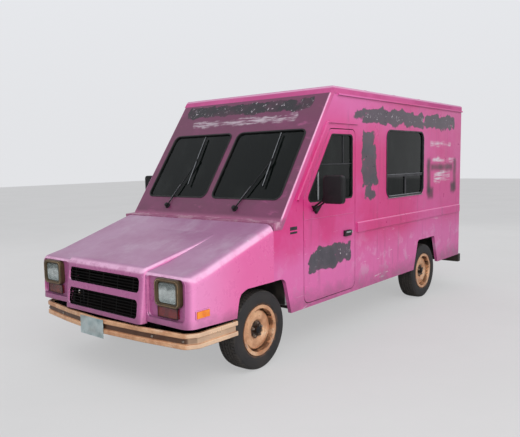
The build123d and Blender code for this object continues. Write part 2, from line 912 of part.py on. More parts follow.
# Chassis frame: two rails and crossmembers
rail_low = floor_low - rail_depth
cross_stations = [
    (-772.0, 80.0, 60.0),
    (720.0, 70.0, 70.0),
    (1900.0, 70.0, 70.0),
    (2740.0, 70.0, 70.0),
    (body_tail - 480, 70.0, 70.0),
]
outrigger_in = rail_x + rail_width / 2 + seat_gap
outrigger_out = wall_in - 50
with BuildPart() as frame:
    for side in (-1, 1):
        with Locations((side * rail_x, at((rail_front + rail_rear) / 2), floor_low - rail_depth / 2)):
            Box(rail_width, rail_rear - rail_front, rail_depth)
    for station, depth, height in cross_stations:
        with Locations((0, at(station), rail_low + height / 2)):
            Box(2 * rail_x - rail_width - 2 * seat_gap, depth, height)
    for side in (-1, 1):
        for station in (500, 1300, 2350, body_tail - 280):
            with Locations((side * (outrigger_in + outrigger_out) / 2, at(station), floor_low - 30)):
                Box(outrigger_out - outrigger_in, 50, 60)
    for side in (-1, 1):
        with BuildSketch(side_plane(side * rail_x - 15)):
            back = steer_arm + rack_radius + seat_gap
            under = rack_z - rack_radius - seat_gap
            outline(
                [
                    (back, rail_low - seat_gap),
                    (back, under),
                    (back - 2 * rack_radius, under),
                    (back - 2 * rack_radius, under - 14),
                    (back + 16, under - 14),
                    (back + 16, rail_low - seat_gap),
                ]
            )
        extrude(amount=30)
    add(brackets.part)
save(frame, "chassis_frame")

# Front suspension: beam, arms, springs and half shafts, all held by the frame
coil_x, coil_station, coil_radius = king_x - 230, -78.0, 36.0
coil_top = 560.0
half_shaft_radius = 14.0
arm_low_top = upright_low - joint_gap
arm_high_low = upright_top + joint_gap
arm_deep = 24.0
beam_top = arm_low_top + 10
with BuildPart() as suspension:
    with Locations((0, at(0), beam_top - 17.5)):
        Box(960, 180, 35)
    for side in (-1, 1):
        for station in (-75, 42):
            with Locations((side * rail_x, at(station), (beam_top + rail_low) / 2)):
                Box(rail_width, 30, rail_low - beam_top)
        with Locations((side * (480 + king_x + 15) / 2, at(0), arm_low_top - arm_deep / 2)):
            Box(king_x + 15 - 480, 2 * arm_half, arm_deep)
        with Locations((side * (coil_x - 35), at(-45), arm_low_top - arm_deep / 2)):
            Box(180, 145, arm_deep)
        with Locations((side * king_x, at(0), (arm_low_top + upright_low - spin_gap) / 2)):
            Cylinder(14, upright_low - spin_gap - arm_low_top)
        with Locations((side * (430 + king_x + 15) / 2, at(0), arm_high_low + arm_deep / 2)):
            Box(king_x + 15 - 430, 2 * arm_half, arm_deep)
        with Locations((side * king_x, at(0), (upright_top + spin_gap + arm_high_low) / 2)):
            Cylinder(14, arm_high_low - upright_top - spin_gap)
        with Locations((side * coil_x, at(coil_station), (arm_low_top + coil_top) / 2)):
            Cylinder(coil_radius, coil_top - arm_low_top)
        with Locations((side * coil_x, at(coil_station), (coil_top + tower_top - sheet) / 2)):
            Cylinder(22, tower_top - sheet - coil_top)
        with Locations((side * (150 + king_x - 45) / 2, at(0), tyre_radius)):
            Cylinder(half_shaft_radius, king_x - 45 - 150, rotation=(0, 90, 0))
save(suspension, "front_suspension")

# Steering rack bar with its rod ends
with BuildPart() as rack:
    with Locations((0, at(steer_arm), rack_z)):
        Cylinder(rack_radius, 2 * king_x, rotation=(0, 90, 0))
    for side in (-1, 1):
        with Locations((side * king_x, at(steer_arm), rack_z)):
            Cylinder(12, 20)
save(rack, "steering_rack")

# Knuckles: upright, steering arm and spindle
with BuildPart() as knuckle:
    with Locations((king_x, at(0), (upright_low + upright_top) / 2)):
        Box(50, 2 * upright_half, upright_top - upright_low)
    with Locations((king_x, at(steer_arm / 2 + 6), (steer_arm_low + steer_arm_top) / 2)):
        Box(28, steer_arm + 12, steer_arm_top - steer_arm_low)
    with Locations(((king_x + wheel_mid + 59) / 2, at(0), tyre_radius)):
        Cylinder(hub_bore - spin_gap, wheel_mid + 59 - king_x, rotation=(0, 90, 0))
save(knuckle, "knuckle_left")
save_mirrored(knuckle, "knuckle_right")

# Rear axle: a tube between the rear wheels on two leaf springs under the rails
spring_x = 480.0
with BuildPart() as rear_axle:
    with Locations((0, at(wheelbase), tyre_radius)):
        Cylinder(34, 2 * (wheel_mid - 5), rotation=(0, 90, 0))
    with Locations((0, at(wheelbase), tyre_radius)):
        Cylinder(hub_bore - spin_gap, 2 * (wheel_mid + 59), rotation=(0, 90, 0))
    for side in (-1, 1):
        start = side * spring_x - 30
        for reach, low_z, tip_z in ((640, 282, 392), (430, 268, 318)):
            with BuildSketch(side_plane(start)):
                with BuildLine():
                    a = (at(wheelbase - reach), tip_z)
                    b = (at(wheelbase), low_z)
                    c = (at(wheelbase + reach), tip_z)
                    ThreePointArc(a, b, c)
                    Line(c, (c[0], c[1] + 14))
                    ThreePointArc(
                        (c[0], c[1] + 14), (b[0], b[1] + 14), (a[0], a[1] + 14)
                    )
                    Line((a[0], a[1] + 14), a)
                make_face()
            extrude(amount=60)
        with Locations((side * spring_x, at(wheelbase), 296)):
            Box(60, 110, 30)
        for reach in (-630, 630):
            with Locations((side * 450, at(wheelbase + reach), (392 + floor_low) / 2)):
                Box(40, 40, floor_low - 392)
save(rear_axle, "rear_axle")

# Engine with its gearbox, as plain blocks, and the radiator
with BuildPart() as engine:
    with Locations((-20, at(-337), 540)):
        Box(560, 525, 480)
    with Locations((0, at(-15), 365)):
        Box(300, 120, 230)
    for x_in, x_out in ((-370, -300), (260, 370)):
        with Locations(((x_in + x_out) / 2, at(-337), 425)):
            Box(x_out - x_in, 90, 50)
save(engine, "engine")

with BuildPart() as radiator:
    with Locations((0, at(-772), 625)):
        Box(660, 50, 370)
    with Locations((0, at(-745), 670)):
        Box(1020, 6, 350)
save(radiator, "radiator")

with BuildPart() as tank:
    with Locations((0, at(2320), 425)):
        Box(740, 700, 84)
save(tank, "fuel_tank")

exhaust_x, exhaust_z, exhaust_radius = -512.0, 365.0, 26.0
hanger_top = floor_low - 40
with BuildPart() as exhaust:
    with Locations((exhaust_x, at(1420), exhaust_z)):
        Cylinder(exhaust_radius, 2340, rotation=(90, 0, 0))
    with Locations((exhaust_x, at(1700), exhaust_z)):
        Box(140, 560, 100)
    for station in (420, 2450):
        x_in, x_out = rail_x + rail_width / 2, -exhaust_x + 12
        with Locations((-(x_in + x_out) / 2, at(station), (exhaust_z + exhaust_radius + hanger_top) / 2)):
            Box(x_out - x_in, 24, hanger_top - exhaust_z - exhaust_radius)
save(exhaust, "exhaust")


# Wheels
tyre_profile = [
    (-80.0, 190.0),
    (-84.0, 214.0),
    (-97.0, 232.0),
    (-102.5, 264.0),
    (-97.0, 306.0),
    (-78.0, 328.0),
    (-40.0, 334.0),
    (40.0, 334.0),
    (78.0, 328.0),
    (97.0, 306.0),
    (102.5, 264.0),
    (97.0, 232.0),
    (84.0, 214.0),
    (80.0, 190.0),
]
rim_profile = [
    (-92.0, 186.0),
    (-93.0, 212.0),
    (-86.5, 212.0),
    (-83.0, 190.0),
    (-60.0, 188.0),
    (-50.0, 176.0),
    (10.0, 176.0),
    (20.0, 188.0),
    (83.0, 190.0),
    (86.5, 212.0),
    (93.0, 212.0),
    (92.0, 184.0),
    (82.0, 180.0),
    (34.0, 180.0),
    (58.0, 158.0),
    (67.0, 122.0),
    (62.0, 92.0),
    (48.0, 76.0),
    (48.0, 32.0),
    (72.0, 28.0),
    (72.0, 0.0),
    (60.0, 0.0),
    (60.0, 20.0),
    (20.0, 20.0),
    (20.0, 40.0),
    (40.0, 44.0),
    (40.0, 80.0),
    (54.0, 97.0),
    (59.0, 122.0),
    (51.0, 152.0),
    (28.0, 172.0),
    (16.0, 172.0),
    (10.0, 168.0),
    (-54.0, 168.0),
    (-66.0, 180.0),
]


def build_wheel(station, flip):
    """A tyre and a rim on one end of an axle."""
    x_mid = flip * wheel_mid
    axle = Axis((0, at(station), tyre_radius), (1, 0, 0))
    plane = Plane(origin=(0, at(station), tyre_radius), x_dir=(1, 0, 0), z_dir=(0, 0, 1))
    with BuildPart() as tyre:
        with BuildSketch(plane):
            Polygon(*[(x_mid + flip * x, r) for x, r in tyre_profile], align=None)
        revolve(axis=axle)
    with BuildPart() as rim:
        with BuildSketch(plane):
            Polygon(*[(x_mid + flip * x, r) for x, r in rim_profile], align=None)
        revolve(axis=axle)
        hub = Plane(
            origin=(x_mid + flip * 8, at(station), tyre_radius), x_dir=(0, 1, 0), z_dir=(flip, 0, 0)
        )
        with BuildSketch(hub):
            with PolarLocations(0, window_count, start_angle=45):
                SlotArc(CenterArc((0, 0), window_ring, -window_half, 2 * window_half), window_tall)
        extrude(amount=80, mode=Mode.SUBTRACT)
        lugs = Plane(
            origin=(x_mid + flip * 48, at(station), tyre_radius), x_dir=(0, 1, 0), z_dir=(flip, 0, 0)
        )
        with BuildSketch(lugs):
            with PolarLocations(stud_circle, lug_count, start_angle=90):
                RegularPolygon(10, 6)
        extrude(amount=16)
    return tyre, rim


wheel_places = {
    "front_left": (0, 1),
    "front_right": (0, -1),
    "rear_left": (wheelbase, 1),
    "rear_right": (wheelbase, -1),
}
for place, (station, flip) in wheel_places.items():
    tyre, rim = build_wheel(station, flip)
    save(tyre, f"tyre_{place}")
    save(rim, f"rim_{place}")

# Cab fittings: dashboard, steering column and wheel, two seats
with BuildPart() as dash:
    with BuildSketch(side_plane(-wall_in + 4)):
        outline(
            [
                (bulkhead + bulkhead_thick, 900),
                (bulkhead + bulkhead_thick, 1148),
                (520, 1148),
                (620, 1060),
                (580, 900),
            ]
        )
    extrude(amount=2 * wall_in - 8)

wheel_tilt = 35.0
with BuildPart() as wheel_part:
    column = Plane(
        origin=(440, at(720), 1165),
        x_dir=(1, 0, 0),
        z_dir=(0, math.cos(math.radians(wheel_tilt)), math.sin(math.radians(wheel_tilt))),
    )
    with BuildSketch(column.offset(-190)):
        Circle(26)
    extrude(amount=195)
    with BuildSketch(column):
        Circle(205)
        Circle(183, mode=Mode.SUBTRACT)
        Rectangle(380, 34)
        Circle(48)
    extrude(amount=20)
    add(dash.part)
save(wheel_part, "dashboard")

seat_x = 440.0
with BuildPart() as seats:
    for side in (-1, 1):
        with Locations((side * seat_x, at(1170), floor_z + 140)):
            Box(380, 380, 280)
        with Locations((side * seat_x, at(1150), floor_z + 330)):
            Box(500, 500, 110)
        with BuildSketch(side_plane(side * seat_x - 250)):
            outline(
                [(1330, floor_z + 290), (1420, floor_z + 290), (1560, 1420), (1450, 1420)]
            )
        extrude(amount=500)
save(seats, "seats")

# Mirrors on the doors: foot, two arms and the head
mirror_gap, mirror_wide = 135.0, 196.0
mirror_in = skin_x + mirror_gap
mirror_out = mirror_in + mirror_wide
mirror_station, mirror_z, mirror_tall, mirror_deep = 735.0, 1469.0, 248.0, 60.0
arm_station = mirror_station + 15
with BuildPart() as mirror_left:
    with BuildSketch(side_plane(skin_x)):
        outline([(728, 1320), (872, 1312), (790, 1244)])
    extrude(amount=22)
    with Locations(((mirror_in + mirror_out) / 2, at(mirror_station), mirror_z)):
        Box(mirror_out - mirror_in, mirror_deep, mirror_tall)
    head = edges().filter_by(Axis.Y).filter_by(lambda e: e.center().X > skin_x + 40)
    fillet(head, 32)
    front_rim = edges().filter_by(
        lambda e: e.center().Y < at(mirror_station - mirror_deep / 2) + 0.1
        and e.center().X > skin_x + 40
    )
    fillet(front_rim, 14)
    for z_arm in (1276.0, 1304.0):
        z_head = z_arm + 100
        with BuildSketch(Plane.XZ.offset(-at(arm_station))):
            Polygon(
                (skin_x + 8, z_arm - 8),
                (mirror_in + 24, z_head - 8),
                (mirror_in + 24, z_head + 8),
                (skin_x + 8, z_arm + 8),
                align=None,
            )
        extrude(amount=8, both=True)
save(mirror_left, "mirror_left")
save_mirrored(mirror_left, "mirror_right")

# Wipers on the windshield frame: pivots, arms and blades
wiper_table = [
    (406.0, 101.0, 612.0, 622.0, 630.0, 338.0, 596.0, 934.0),
    (-496.0, 101.0, -355.0, 640.0, -331.0, 349.0, -386.0, 933.0),
]
with BuildPart() as wipers:
    for px, pv, mx, mv, ax, av, bx, bv in wiper_table:
        with BuildSketch(screen_plane):
            with Locations((px, pv)):
                Circle(17)
        extrude(amount=22)
        for x0, v0, x1, v1, wide, lift, deep in (
            (px, pv, mx, mv, 10, 9, 7),
            (ax, av, bx, bv, 9, 5, 10),
        ):
            length = math.hypot(x1 - x0, v1 - v0)
            turn = math.degrees(math.atan2(v1 - v0, x1 - x0))
            with BuildSketch(screen_plane.offset(lift)):
                with Locations(Location(((x0 + x1) / 2, (v0 + v1) / 2, 0), (0, 0, turn))):
                    Rectangle(length, wide)
            extrude(amount=deep)
save(wipers, "wipers")

with BuildPart() as tail_lamps:
    for side in (-1, 1):
        with Locations((side * (half - 92), at(body_tail + 10), 720)):
            Box(76, 20, 260)
save(tail_lamps, "tail_lamps")
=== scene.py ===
import math

import bmesh
import bpy
from mathutils import Matrix, Vector


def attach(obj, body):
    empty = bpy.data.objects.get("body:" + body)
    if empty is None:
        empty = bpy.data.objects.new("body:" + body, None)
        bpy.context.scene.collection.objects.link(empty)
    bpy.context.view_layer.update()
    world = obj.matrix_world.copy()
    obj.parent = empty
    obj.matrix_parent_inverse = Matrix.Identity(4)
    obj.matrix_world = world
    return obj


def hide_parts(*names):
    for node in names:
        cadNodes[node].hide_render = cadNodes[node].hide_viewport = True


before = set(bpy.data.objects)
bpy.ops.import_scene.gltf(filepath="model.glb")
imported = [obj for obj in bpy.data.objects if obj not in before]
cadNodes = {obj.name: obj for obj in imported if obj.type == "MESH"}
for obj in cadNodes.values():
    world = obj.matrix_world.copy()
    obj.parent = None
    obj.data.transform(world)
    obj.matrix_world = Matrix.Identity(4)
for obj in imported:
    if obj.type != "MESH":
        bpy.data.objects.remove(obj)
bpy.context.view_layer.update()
print("stage: frame loaded,", len(cadNodes), "nodes")

frontAxle = -1.75885  # Y of the front axle, in metres
wheelbase = 3.263
axleHeight = 0.334  # a tyre's outer radius as well
wheelMid = 0.8445  # X of a wheel's middle plane
bothSides = (("left", 1), ("right", -1))


def at(station):
    # Y of a station, given in millimetres behind the front axle
    return frontAxle + station / 1000.0


def rgb(r, g, b):
    # a colour as it is seen, turned into the linear values that nodes take
    channels = []
    for value in (r, g, b):
        share = value / 255.0
        channels.append(share / 12.92 if share <= 0.04045 else ((share + 0.055) / 1.055) ** 2.4)
    return (*channels, 1.0)


# Small helpers that keep the node setups short; they work in one node tree at a time
tree = None


def newNode(kind):
    return tree.nodes.new("ShaderNode" + kind)


def startMaterial(name, roughness=0.5, metallic=0.0, coat=0.0, coatRoughness=0.1):
    global tree
    mat = bpy.data.materials.new(name)
    mat.use_nodes = True
    tree = mat.node_tree
    tree.nodes.clear()
    out = newNode("OutputMaterial")
    shader = newNode("BsdfPrincipled")
    tree.links.new(shader.outputs[0], out.inputs[0])
    shader.inputs["Roughness"].default_value = roughness
    shader.inputs["Metallic"].default_value = metallic
    shader.inputs["Coat Weight"].default_value = coat
    shader.inputs["Coat Roughness"].default_value = coatRoughness
    return mat, shader


def feed(socket, value):
    if isinstance(value, bpy.types.NodeSocket):
        tree.links.new(value, socket)
    else:
        socket.default_value = value


def place(stretch=(1, 1, 1), shift=(0, 0, 0)):
    coord = newNode("TexCoord")
    mapping = newNode("Mapping")
    mapping.inputs["Scale"].default_value = stretch
    mapping.inputs["Location"].default_value = shift
    tree.links.new(coord.outputs["Object"], mapping.inputs["Vector"])
    return mapping.outputs[0]


def noise(scale, detail=3.0, rough=0.55, stretch=(1, 1, 1), distort=0.0, shift=(0, 0, 0)):
    node = newNode("TexNoise")
    node.inputs["Scale"].default_value = scale
    node.inputs["Detail"].default_value = detail
    node.inputs["Roughness"].default_value = rough
    node.inputs["Distortion"].default_value = distort
    tree.links.new(place(stretch, shift), node.inputs["Vector"])
    return node.outputs["Fac"]


def cells(scale, stretch=(1, 1, 1)):
    node = newNode("TexVoronoi")
    node.inputs["Scale"].default_value = scale
    tree.links.new(place(stretch), node.inputs["Vector"])
    return node.outputs["Distance"]


def calc(operation, a, b=0.0, clamp=False):
    node = newNode("Math")
    node.operation = operation
    node.use_clamp = clamp
    feed(node.inputs[0], a)
    feed(node.inputs[1], b)
    return node.outputs[0]


def remap(value, low, high, toLow=0.0, toHigh=1.0):
    node = newNode("MapRange")
    node.interpolation_type = "SMOOTHSTEP"
    feed(node.inputs["Value"], value)
    node.inputs["From Min"].default_value = low
    node.inputs["From Max"].default_value = high
    node.inputs["To Min"].default_value = toLow
    node.inputs["To Max"].default_value = toHigh
    return node.outputs["Result"]


def vary(cloud, low, high):
    # a noise spread softly over a range
    return remap(cloud, 0.3, 0.7, low, high)


def ragged(mask, cloud, low, high, start=0.3, end=0.7):
    # a mask whose edge a noise pushes to and fro
    return calc("ADD", mask, remap(cloud, start, end, low, high), True)


def blend(share, a, b):
    node = newNode("Mix")
    node.data_type = "RGBA"
    feed(node.inputs["Factor"], share)
    feed(node.inputs[6], a)
    feed(node.inputs[7], b)
    return node.outputs[2]


def times(*values):
    total = values[0]
    for value in values[1:]:
        total = calc("MULTIPLY", total, value)
    return total


def axes():
    coord = newNode("TexCoord")
    split = newNode("SeparateXYZ")
    tree.links.new(coord.outputs["Object"], split.inputs[0])
    return split.outputs


def facing():
    coord = newNode("TexCoord")
    split = newNode("SeparateXYZ")
    tree.links.new(coord.outputs["Normal"], split.inputs[0])
    return split.outputs


def lay(shader, colour, rough):
    # the colour and the roughness of a paint
    feed(shader.inputs["Base Color"], colour)
    feed(shader.inputs["Roughness"], rough)


def bump(shader, height, strength=0.3, distance=0.002):
    node = newNode("Bump")
    node.inputs["Strength"].default_value = strength
    node.inputs["Distance"].default_value = distance
    tree.links.new(height, node.inputs["Height"])
    tree.links.new(node.outputs[0], shader.inputs["Normal"])


def fromBox(xyz, across, middle, reach):
    # distance outside a box drawn on two axes, zero within it
    sides = []
    for axis, centre, half in zip(across, middle, reach):
        away = calc("ABSOLUTE", calc("SUBTRACT", xyz[axis], centre))
        sides.append(calc("MAXIMUM", calc("SUBTRACT", away, half), 0.0))
    squares = [calc("POWER", side, 2.0) for side in sides]
    return calc("SQRT", calc("ADD", *squares))


def fromCentre(xyz, middle):
    # distance from a point in the side view
    squares = []
    for axis, centre in zip((1, 2), middle):
        away = calc("SUBTRACT", xyz[axis], centre)
        squares.append(calc("POWER", away, 2.0))
    return calc("SQRT", calc("ADD", *squares))


def edgeWave(amount, scale, shift=0.0):
    # slow waves with a little tooth, for the edge of a brushed-on patch
    slow = calc("SUBTRACT", noise(scale, 1.5, 0.5, shift=(shift, shift, 0)), 0.5)
    tooth = calc("SUBTRACT", noise(scale * 5, 2, 0.6, shift=(0, shift, shift)), 0.5)
    return calc("ADD", times(slow, amount), times(tooth, amount * 0.28))


def patch(xyz, across, middle, reach, wave, softness=0.006):
    away = fromBox(xyz, across, middle, reach)
    return remap(calc("SUBTRACT", away, wave), softness, -softness)


# The side paint: old magenta enamel, chalky and scuffed low down, with brushed-on grey patches
sidePaintValues = {
    "deep": rgb(206, 50, 122),
    "mid": rgb(212, 82, 152),
    "top": rgb(214, 100, 164),
    "low": rgb(216, 108, 170),
    "chalk": rgb(222, 166, 200),
    "primer": rgb(232, 222, 228),
    # painted highlight on faces that look up
    "edge": rgb(238, 152, 200),
    # grime; also laid on faces that look down as painted shade
    "grimeAndShade": rgb(84, 56, 66),
    "cover": rgb(62, 60, 68),
    "coverPale": rgb(80, 76, 84),
    "fleck": rgb(226, 220, 224),
    "spray": rgb(28, 26, 30),
    "haze": rgb(226, 218, 226),
    "coat": 0.16,
    "coatRoughness": 0.16,
    "paleHeights": (1.70, 2.35),  # the paint turns pale between these heights
    "chalkHeights": (1.06, 0.72),  # and chalky between these, downwards
    "outerSkin": (0.952, 0.958),  # half widths between which the outside begins
}
# middle and half size of each patch on the left side, in the side view
leftPatches = [
    {"middle": (at(2900), 2.176), "reach": (1.210, 0.046), "flecks": True},
    {"middle": (at(1610), 2.176), "reach": (0.080, 0.010), "flecks": False},
    {"middle": (at(1775), 1.900), "reach": (0.090, 0.090), "flecks": False},
    {"middle": (at(1800), 1.660), "reach": (0.120, 0.190), "flecks": False},
    {"middle": (at(1850), 1.430), "reach": (0.110, 0.080), "flecks": False},
    {"middle": (at(1075), 0.828), "reach": (0.320, 0.060), "flecks": True},
    {"middle": (at(930), 0.800), "reach": (0.200, 0.070), "flecks": False},
]
leftSprays = [
    {"middle": (at(3325), 1.510), "reach": (0.022, 0.190)},
    {"middle": (at(3390), 1.300), "reach": (0.050, 0.040)},
    {"middle": (at(4180), 1.510), "reach": (0.022, 0.190)},
    {"middle": (at(4110), 1.340), "reach": (0.040, 0.040)},
    {"middle": (at(3740), 1.615), "reach": (0.320, 0.014)},
]
leftHazes = [
    {"middle": (at(3690), 1.908), "reach": (0.310, 0.010)},
    {"middle": (at(3840), 1.708), "reach": (0.430, 0.008)},
    {"middle": (at(3740), 1.500), "reach": (0.250, 0.050)},
]


def sidePaint(name, patches=(), sprays=(), hazes=(), dull=0.0):
    paint = sidePaintValues
    mat, shader = startMaterial(name, coat=paint["coat"], coatRoughness=paint["coatRoughness"])
    xyz = axes()
    cloud = noise(0.9, 5, 0.6)
    mottle = noise(6.0, 6, 0.68)
    fine = noise(70.0, 2, 0.6)
    # deep at door height, paler under the roof, chalky mauve below the belt
    high = ragged(remap(xyz[2], *paint["paleHeights"]), cloud, -0.2, 0.2, 0.35)
    low = ragged(remap(xyz[2], *paint["chalkHeights"]), cloud, -0.25, 0.25, 0.35)
    tail = remap(xyz[1], at(1500), at(4400), 0.10 + dull, 0.75 + dull)
    colour = blend(ragged(tail, cloud, -0.25, 0.25), paint["deep"], paint["mid"])
    colour = blend(times(high, remap(xyz[1], at(1500), at(3000), 1.0, 0.3)), colour, paint["top"])
    colour = blend(times(low, 0.85), colour, paint["low"])
    blotch = times(remap(mottle, 0.50, 0.66), low, remap(xyz[1], at(1400), at(1700), 0.35, 1.0))
    colour = blend(times(blotch, 0.55), colour, paint["chalk"])
    # brushed-on patches outside only, with the old pale lines showing through as flecks
    outside = remap(calc("ABSOLUTE", xyz[0]), *paint["outerSkin"])
    wave = edgeWave(0.150, 8.0)
    wave = calc("ADD", wave, 0.030)
    for spot in patches:
        mask = patch(xyz, (1, 2), spot["middle"], spot["reach"], wave)
        shade = blend(remap(mottle, 0.35, 0.65), paint["cover"], paint["coverPale"])
        if spot["flecks"]:
            chip = remap(noise(17.0, 5, 0.75, (1, 1.6, 1.0)), 0.615, 0.64)
            narrow = (spot["reach"][0], spot["reach"][1] * 0.4)
            band = patch(xyz, (1, 2), spot["middle"], narrow, 0.02)
            shade = blend(times(chip, band), shade, paint["fleck"])
        colour = blend(times(mask, outside, 0.97), colour, shade)
    soft = edgeWave(0.14, 4.0, 3.0)
    for spot in hazes:
        mask = patch(xyz, (1, 2), spot["middle"], spot["reach"], soft, 0.026)
        streak = remap(noise(5.0, 4, 0.6, (1, 0.7, 9.0)), 0.36, 0.60)
        colour = blend(times(mask, streak, outside, 0.9), colour, paint["haze"])
    sprayed = calc("ADD", edgeWave(0.06, 5.0, 3.0), 0.02)
    for spot in sprays:
        mask = patch(xyz, (1, 2), spot["middle"], spot["reach"], sprayed, 0.045)
        colour = blend(times(mask, outside, 0.92), colour, paint["spray"])
    # the belt and the rail catch light on top, painted as a paler highlight on faces that look up, with
    # painted shade on faces that look down
    way = facing()
    colour = blend(remap(way[2], 0.25, 0.8, 0.0, 0.65), colour, paint["edge"])
    colour = blend(remap(way[2], -0.3, -0.8, 0.0, 0.6), colour, paint["grimeAndShade"])
    # scratches that show primer, most of them low down, and small stone chips
    scratch = remap(noise(2.6, 9, 0.64, (1, 1.0, 7.0), 0.9), 0.665, 0.69)
    colour = blend(times(scratch, remap(xyz[2], 1.15, 0.60, 0.10, 0.75)), colour, paint["primer"])
    chips = remap(cells(30.0), 0.11, 0.06)
    chips = times(chips, remap(noise(2.1, 2, shift=(0, 2, 0)), 0.54, 0.62))
    colour = blend(times(chips, remap(xyz[2], 1.3, 0.7, 0.15, 0.9)), colour, paint["primer"])
    # dirt runs down from the gutter and up from the road
    runs = remap(noise(5.0, 5, 0.6, (3.0, 3.0, 0.22)), 0.54, 0.80, 0.0, 0.30)
    splash = ragged(remap(xyz[2], 0.66, 0.40), mottle, -0.5, 0.1)
    colour = blend(calc("MAXIMUM", runs, times(splash, 0.5)), colour, paint["grimeAndShade"])
    lay(shader, colour, calc("ADD", vary(mottle, 0.27, 0.42), times(low, 0.14)))
    waves = calc("ADD", times(noise(2.2, 1), 6.0), times(fine, 0.10))
    bump(shader, waves, 0.22, 0.004)
    return mat


nosePaintValues = {
    "top": rgb(171, 124, 159),
    "topDull": rgb(159, 102, 142),
    "dust": rgb(184, 158, 180),
    "side": rgb(222, 98, 160),
    # the fenders' sides towards the front: a painted highlight
    "sideFrontHighlight": rgb(228, 138, 190),
    # painted shade on faces that look forward
    "front": rgb(176, 96, 146),
    # painted highlight on the rounded edges
    "edge": rgb(240, 188, 222),
    "chip": rgb(96, 72, 84),
}


def nosePaint():
    # oxidised mauve on top, glossier pink on the fenders with a painted highlight towards the front,
    # painted shade on faces that look forward, a painted highlight on the rounded edges, chipped at the
    # front edges
    paint = nosePaintValues
    mat, shader = startMaterial("nosePaint", coat=0.35, coatRoughness=0.16)
    xyz = axes()
    way = facing()
    cloud = noise(1.5, 5, 0.6, shift=(4, 0, 0))
    mottle = noise(9.0, 5, 0.65)
    tilt = calc("ADD", way[2], vary(mottle, -0.06, 0.06))
    up = remap(tilt, 0.45, 0.90)
    ahead = remap(xyz[1], at(-150), at(-860))
    # the fenders' sides turn paler towards the front: a painted highlight
    side = blend(ahead, paint["side"], paint["sideFrontHighlight"])
    # faces that look forward are darker: painted shade
    side = blend(remap(way[1], -0.35, -0.85), side, paint["front"])
    top = blend(remap(cloud, 0.36, 0.64), paint["top"], paint["topDull"])
    dusty = remap(noise(2.4, 6, 0.7, (1, 0.6, 1)), 0.48, 0.72)
    top = blend(times(dusty, 0.55), top, paint["dust"])
    colour = blend(up, side, top)
    # a paler painted highlight on the rounded edges between top and sides
    roundedHighlight = times(remap(way[2], 0.22, 0.45), remap(way[2], 0.90, 0.66),
                    remap(mottle, 0.3, 0.6, 0.45, 0.85))
    colour = blend(roundedHighlight, colour, paint["edge"])
    scratch = remap(noise(3.4, 9, 0.62, (1, 5.0, 5.0), 0.7), 0.67, 0.70)
    colour = blend(times(scratch, 0.30), colour, sidePaintValues["primer"])
    chips = remap(cells(42.0), 0.12, 0.06)
    chips = times(chips, remap(noise(3.0, 2), 0.54, 0.62),
                  remap(way[1], -0.2, -0.6))
    colour = blend(chips, colour, paint["chip"])
    lowDirt = ragged(remap(xyz[2], 0.66, 0.50), mottle, -0.5, 0.0)
    colour = blend(times(lowDirt, 0.5), colour, sidePaintValues["grimeAndShade"])
    lay(shader, colour, calc("ADD", vary(mottle, 0.25, 0.34), times(up, 0.12)))
    waves = calc("ADD", times(noise(2.6, 1), 4.0), times(noise(120.0, 2), 0.06))
    bump(shader, waves, 0.2, 0.004)
    return mat


screenPaintValues = {
    "frame": rgb(118, 54, 90),
    "dull": rgb(96, 48, 74),
    "post": rgb(206, 84, 144),
    # painted highlight on the posts' rounded edges
    "edge": rgb(240, 180, 214),
    "cowl": rgb(156, 86, 122),
    "chip": rgb(232, 202, 214),
    "band": rgb(34, 29, 36),
    "fleck": rgb(196, 186, 194),
    "bandAt": (-0.02, 2.264),
    "bandReach": (0.80, 0.036),
    "lineAt": (0.0, 2.135),
    "lineReach": (0.66, 0.010),
}


def screenPaint():
    # dull plum round the windshield with a brushed black band above it and a worn pale line
    # below that, pink on the corner posts and cowl, and a painted highlight along the posts' rounded edges
    paint = screenPaintValues
    mat, shader = startMaterial("screenPaint", coat=0.12, coatRoughness=0.3)
    xyz = axes()
    way = facing()
    cloud = noise(2.0, 6, 0.65, (1, 1, 1.4))
    colour = blend(remap(cloud, 0.38, 0.66), paint["frame"], paint["dull"])
    chalk = remap(noise(5.0, 8, 0.7, (0.7, 1, 2.2)), 0.58, 0.70)
    colour = blend(times(chalk, 0.30), colour, sidePaintValues["low"])
    wave = calc("ADD", edgeWave(0.09, 9.0), 0.020)
    band = patch(xyz, (0, 2), paint["bandAt"], paint["bandReach"], wave)
    chip = remap(noise(26.0, 5, 0.75), 0.60, 0.63)
    shade = blend(chip, paint["band"], paint["fleck"])
    colour = blend(band, colour, shade)
    line = patch(xyz, (0, 2), paint["lineAt"], paint["lineReach"], wave, 0.012)
    worn = remap(noise(7.0, 5, 0.65, (0.8, 1, 9.0)), 0.40, 0.58)
    colour = blend(times(line, worn, 0.55), colour, sidePaintValues["haze"])
    post = remap(calc("ABSOLUTE", way[0]), 0.25, 0.75)
    colour = blend(post, colour, paint["post"])
    # a paler painted highlight along the posts' rounded edges
    side = calc("ABSOLUTE", way[0])
    roundedHighlight = times(remap(side, 0.12, 0.35), remap(side, 0.93, 0.70))
    colour = blend(times(roundedHighlight, 0.8), colour, paint["edge"])
    cowl = ragged(remap(xyz[2], 1.262, 1.215), cloud, -0.2, 0.2)
    colour = blend(cowl, colour, paint["cowl"])
    bare = times(remap(xyz[2], 1.232, 1.217), remap(noise(5.0, 6, 0.75), 0.46, 0.62))
    colour = blend(times(bare, 0.40), colour, paint["chip"])
    lay(shader, colour, vary(cloud, 0.34, 0.52))
    waves = calc("ADD", times(noise(3.0, 1), 3.0), times(noise(60.0, 3), 0.2))
    bump(shader, waves, 0.2, 0.003)
    return mat


roofPaintValues = {
    "top": rgb(206, 140, 176),
    "topDull": rgb(190, 122, 160),
    "rim": rgb(203, 92, 148),
    "rimDull": rgb(190, 82, 136),
    "stain": rgb(140, 116, 128),
    # painted highlight along the rim's upper edge
    "worn": rgb(226, 168, 200),
}


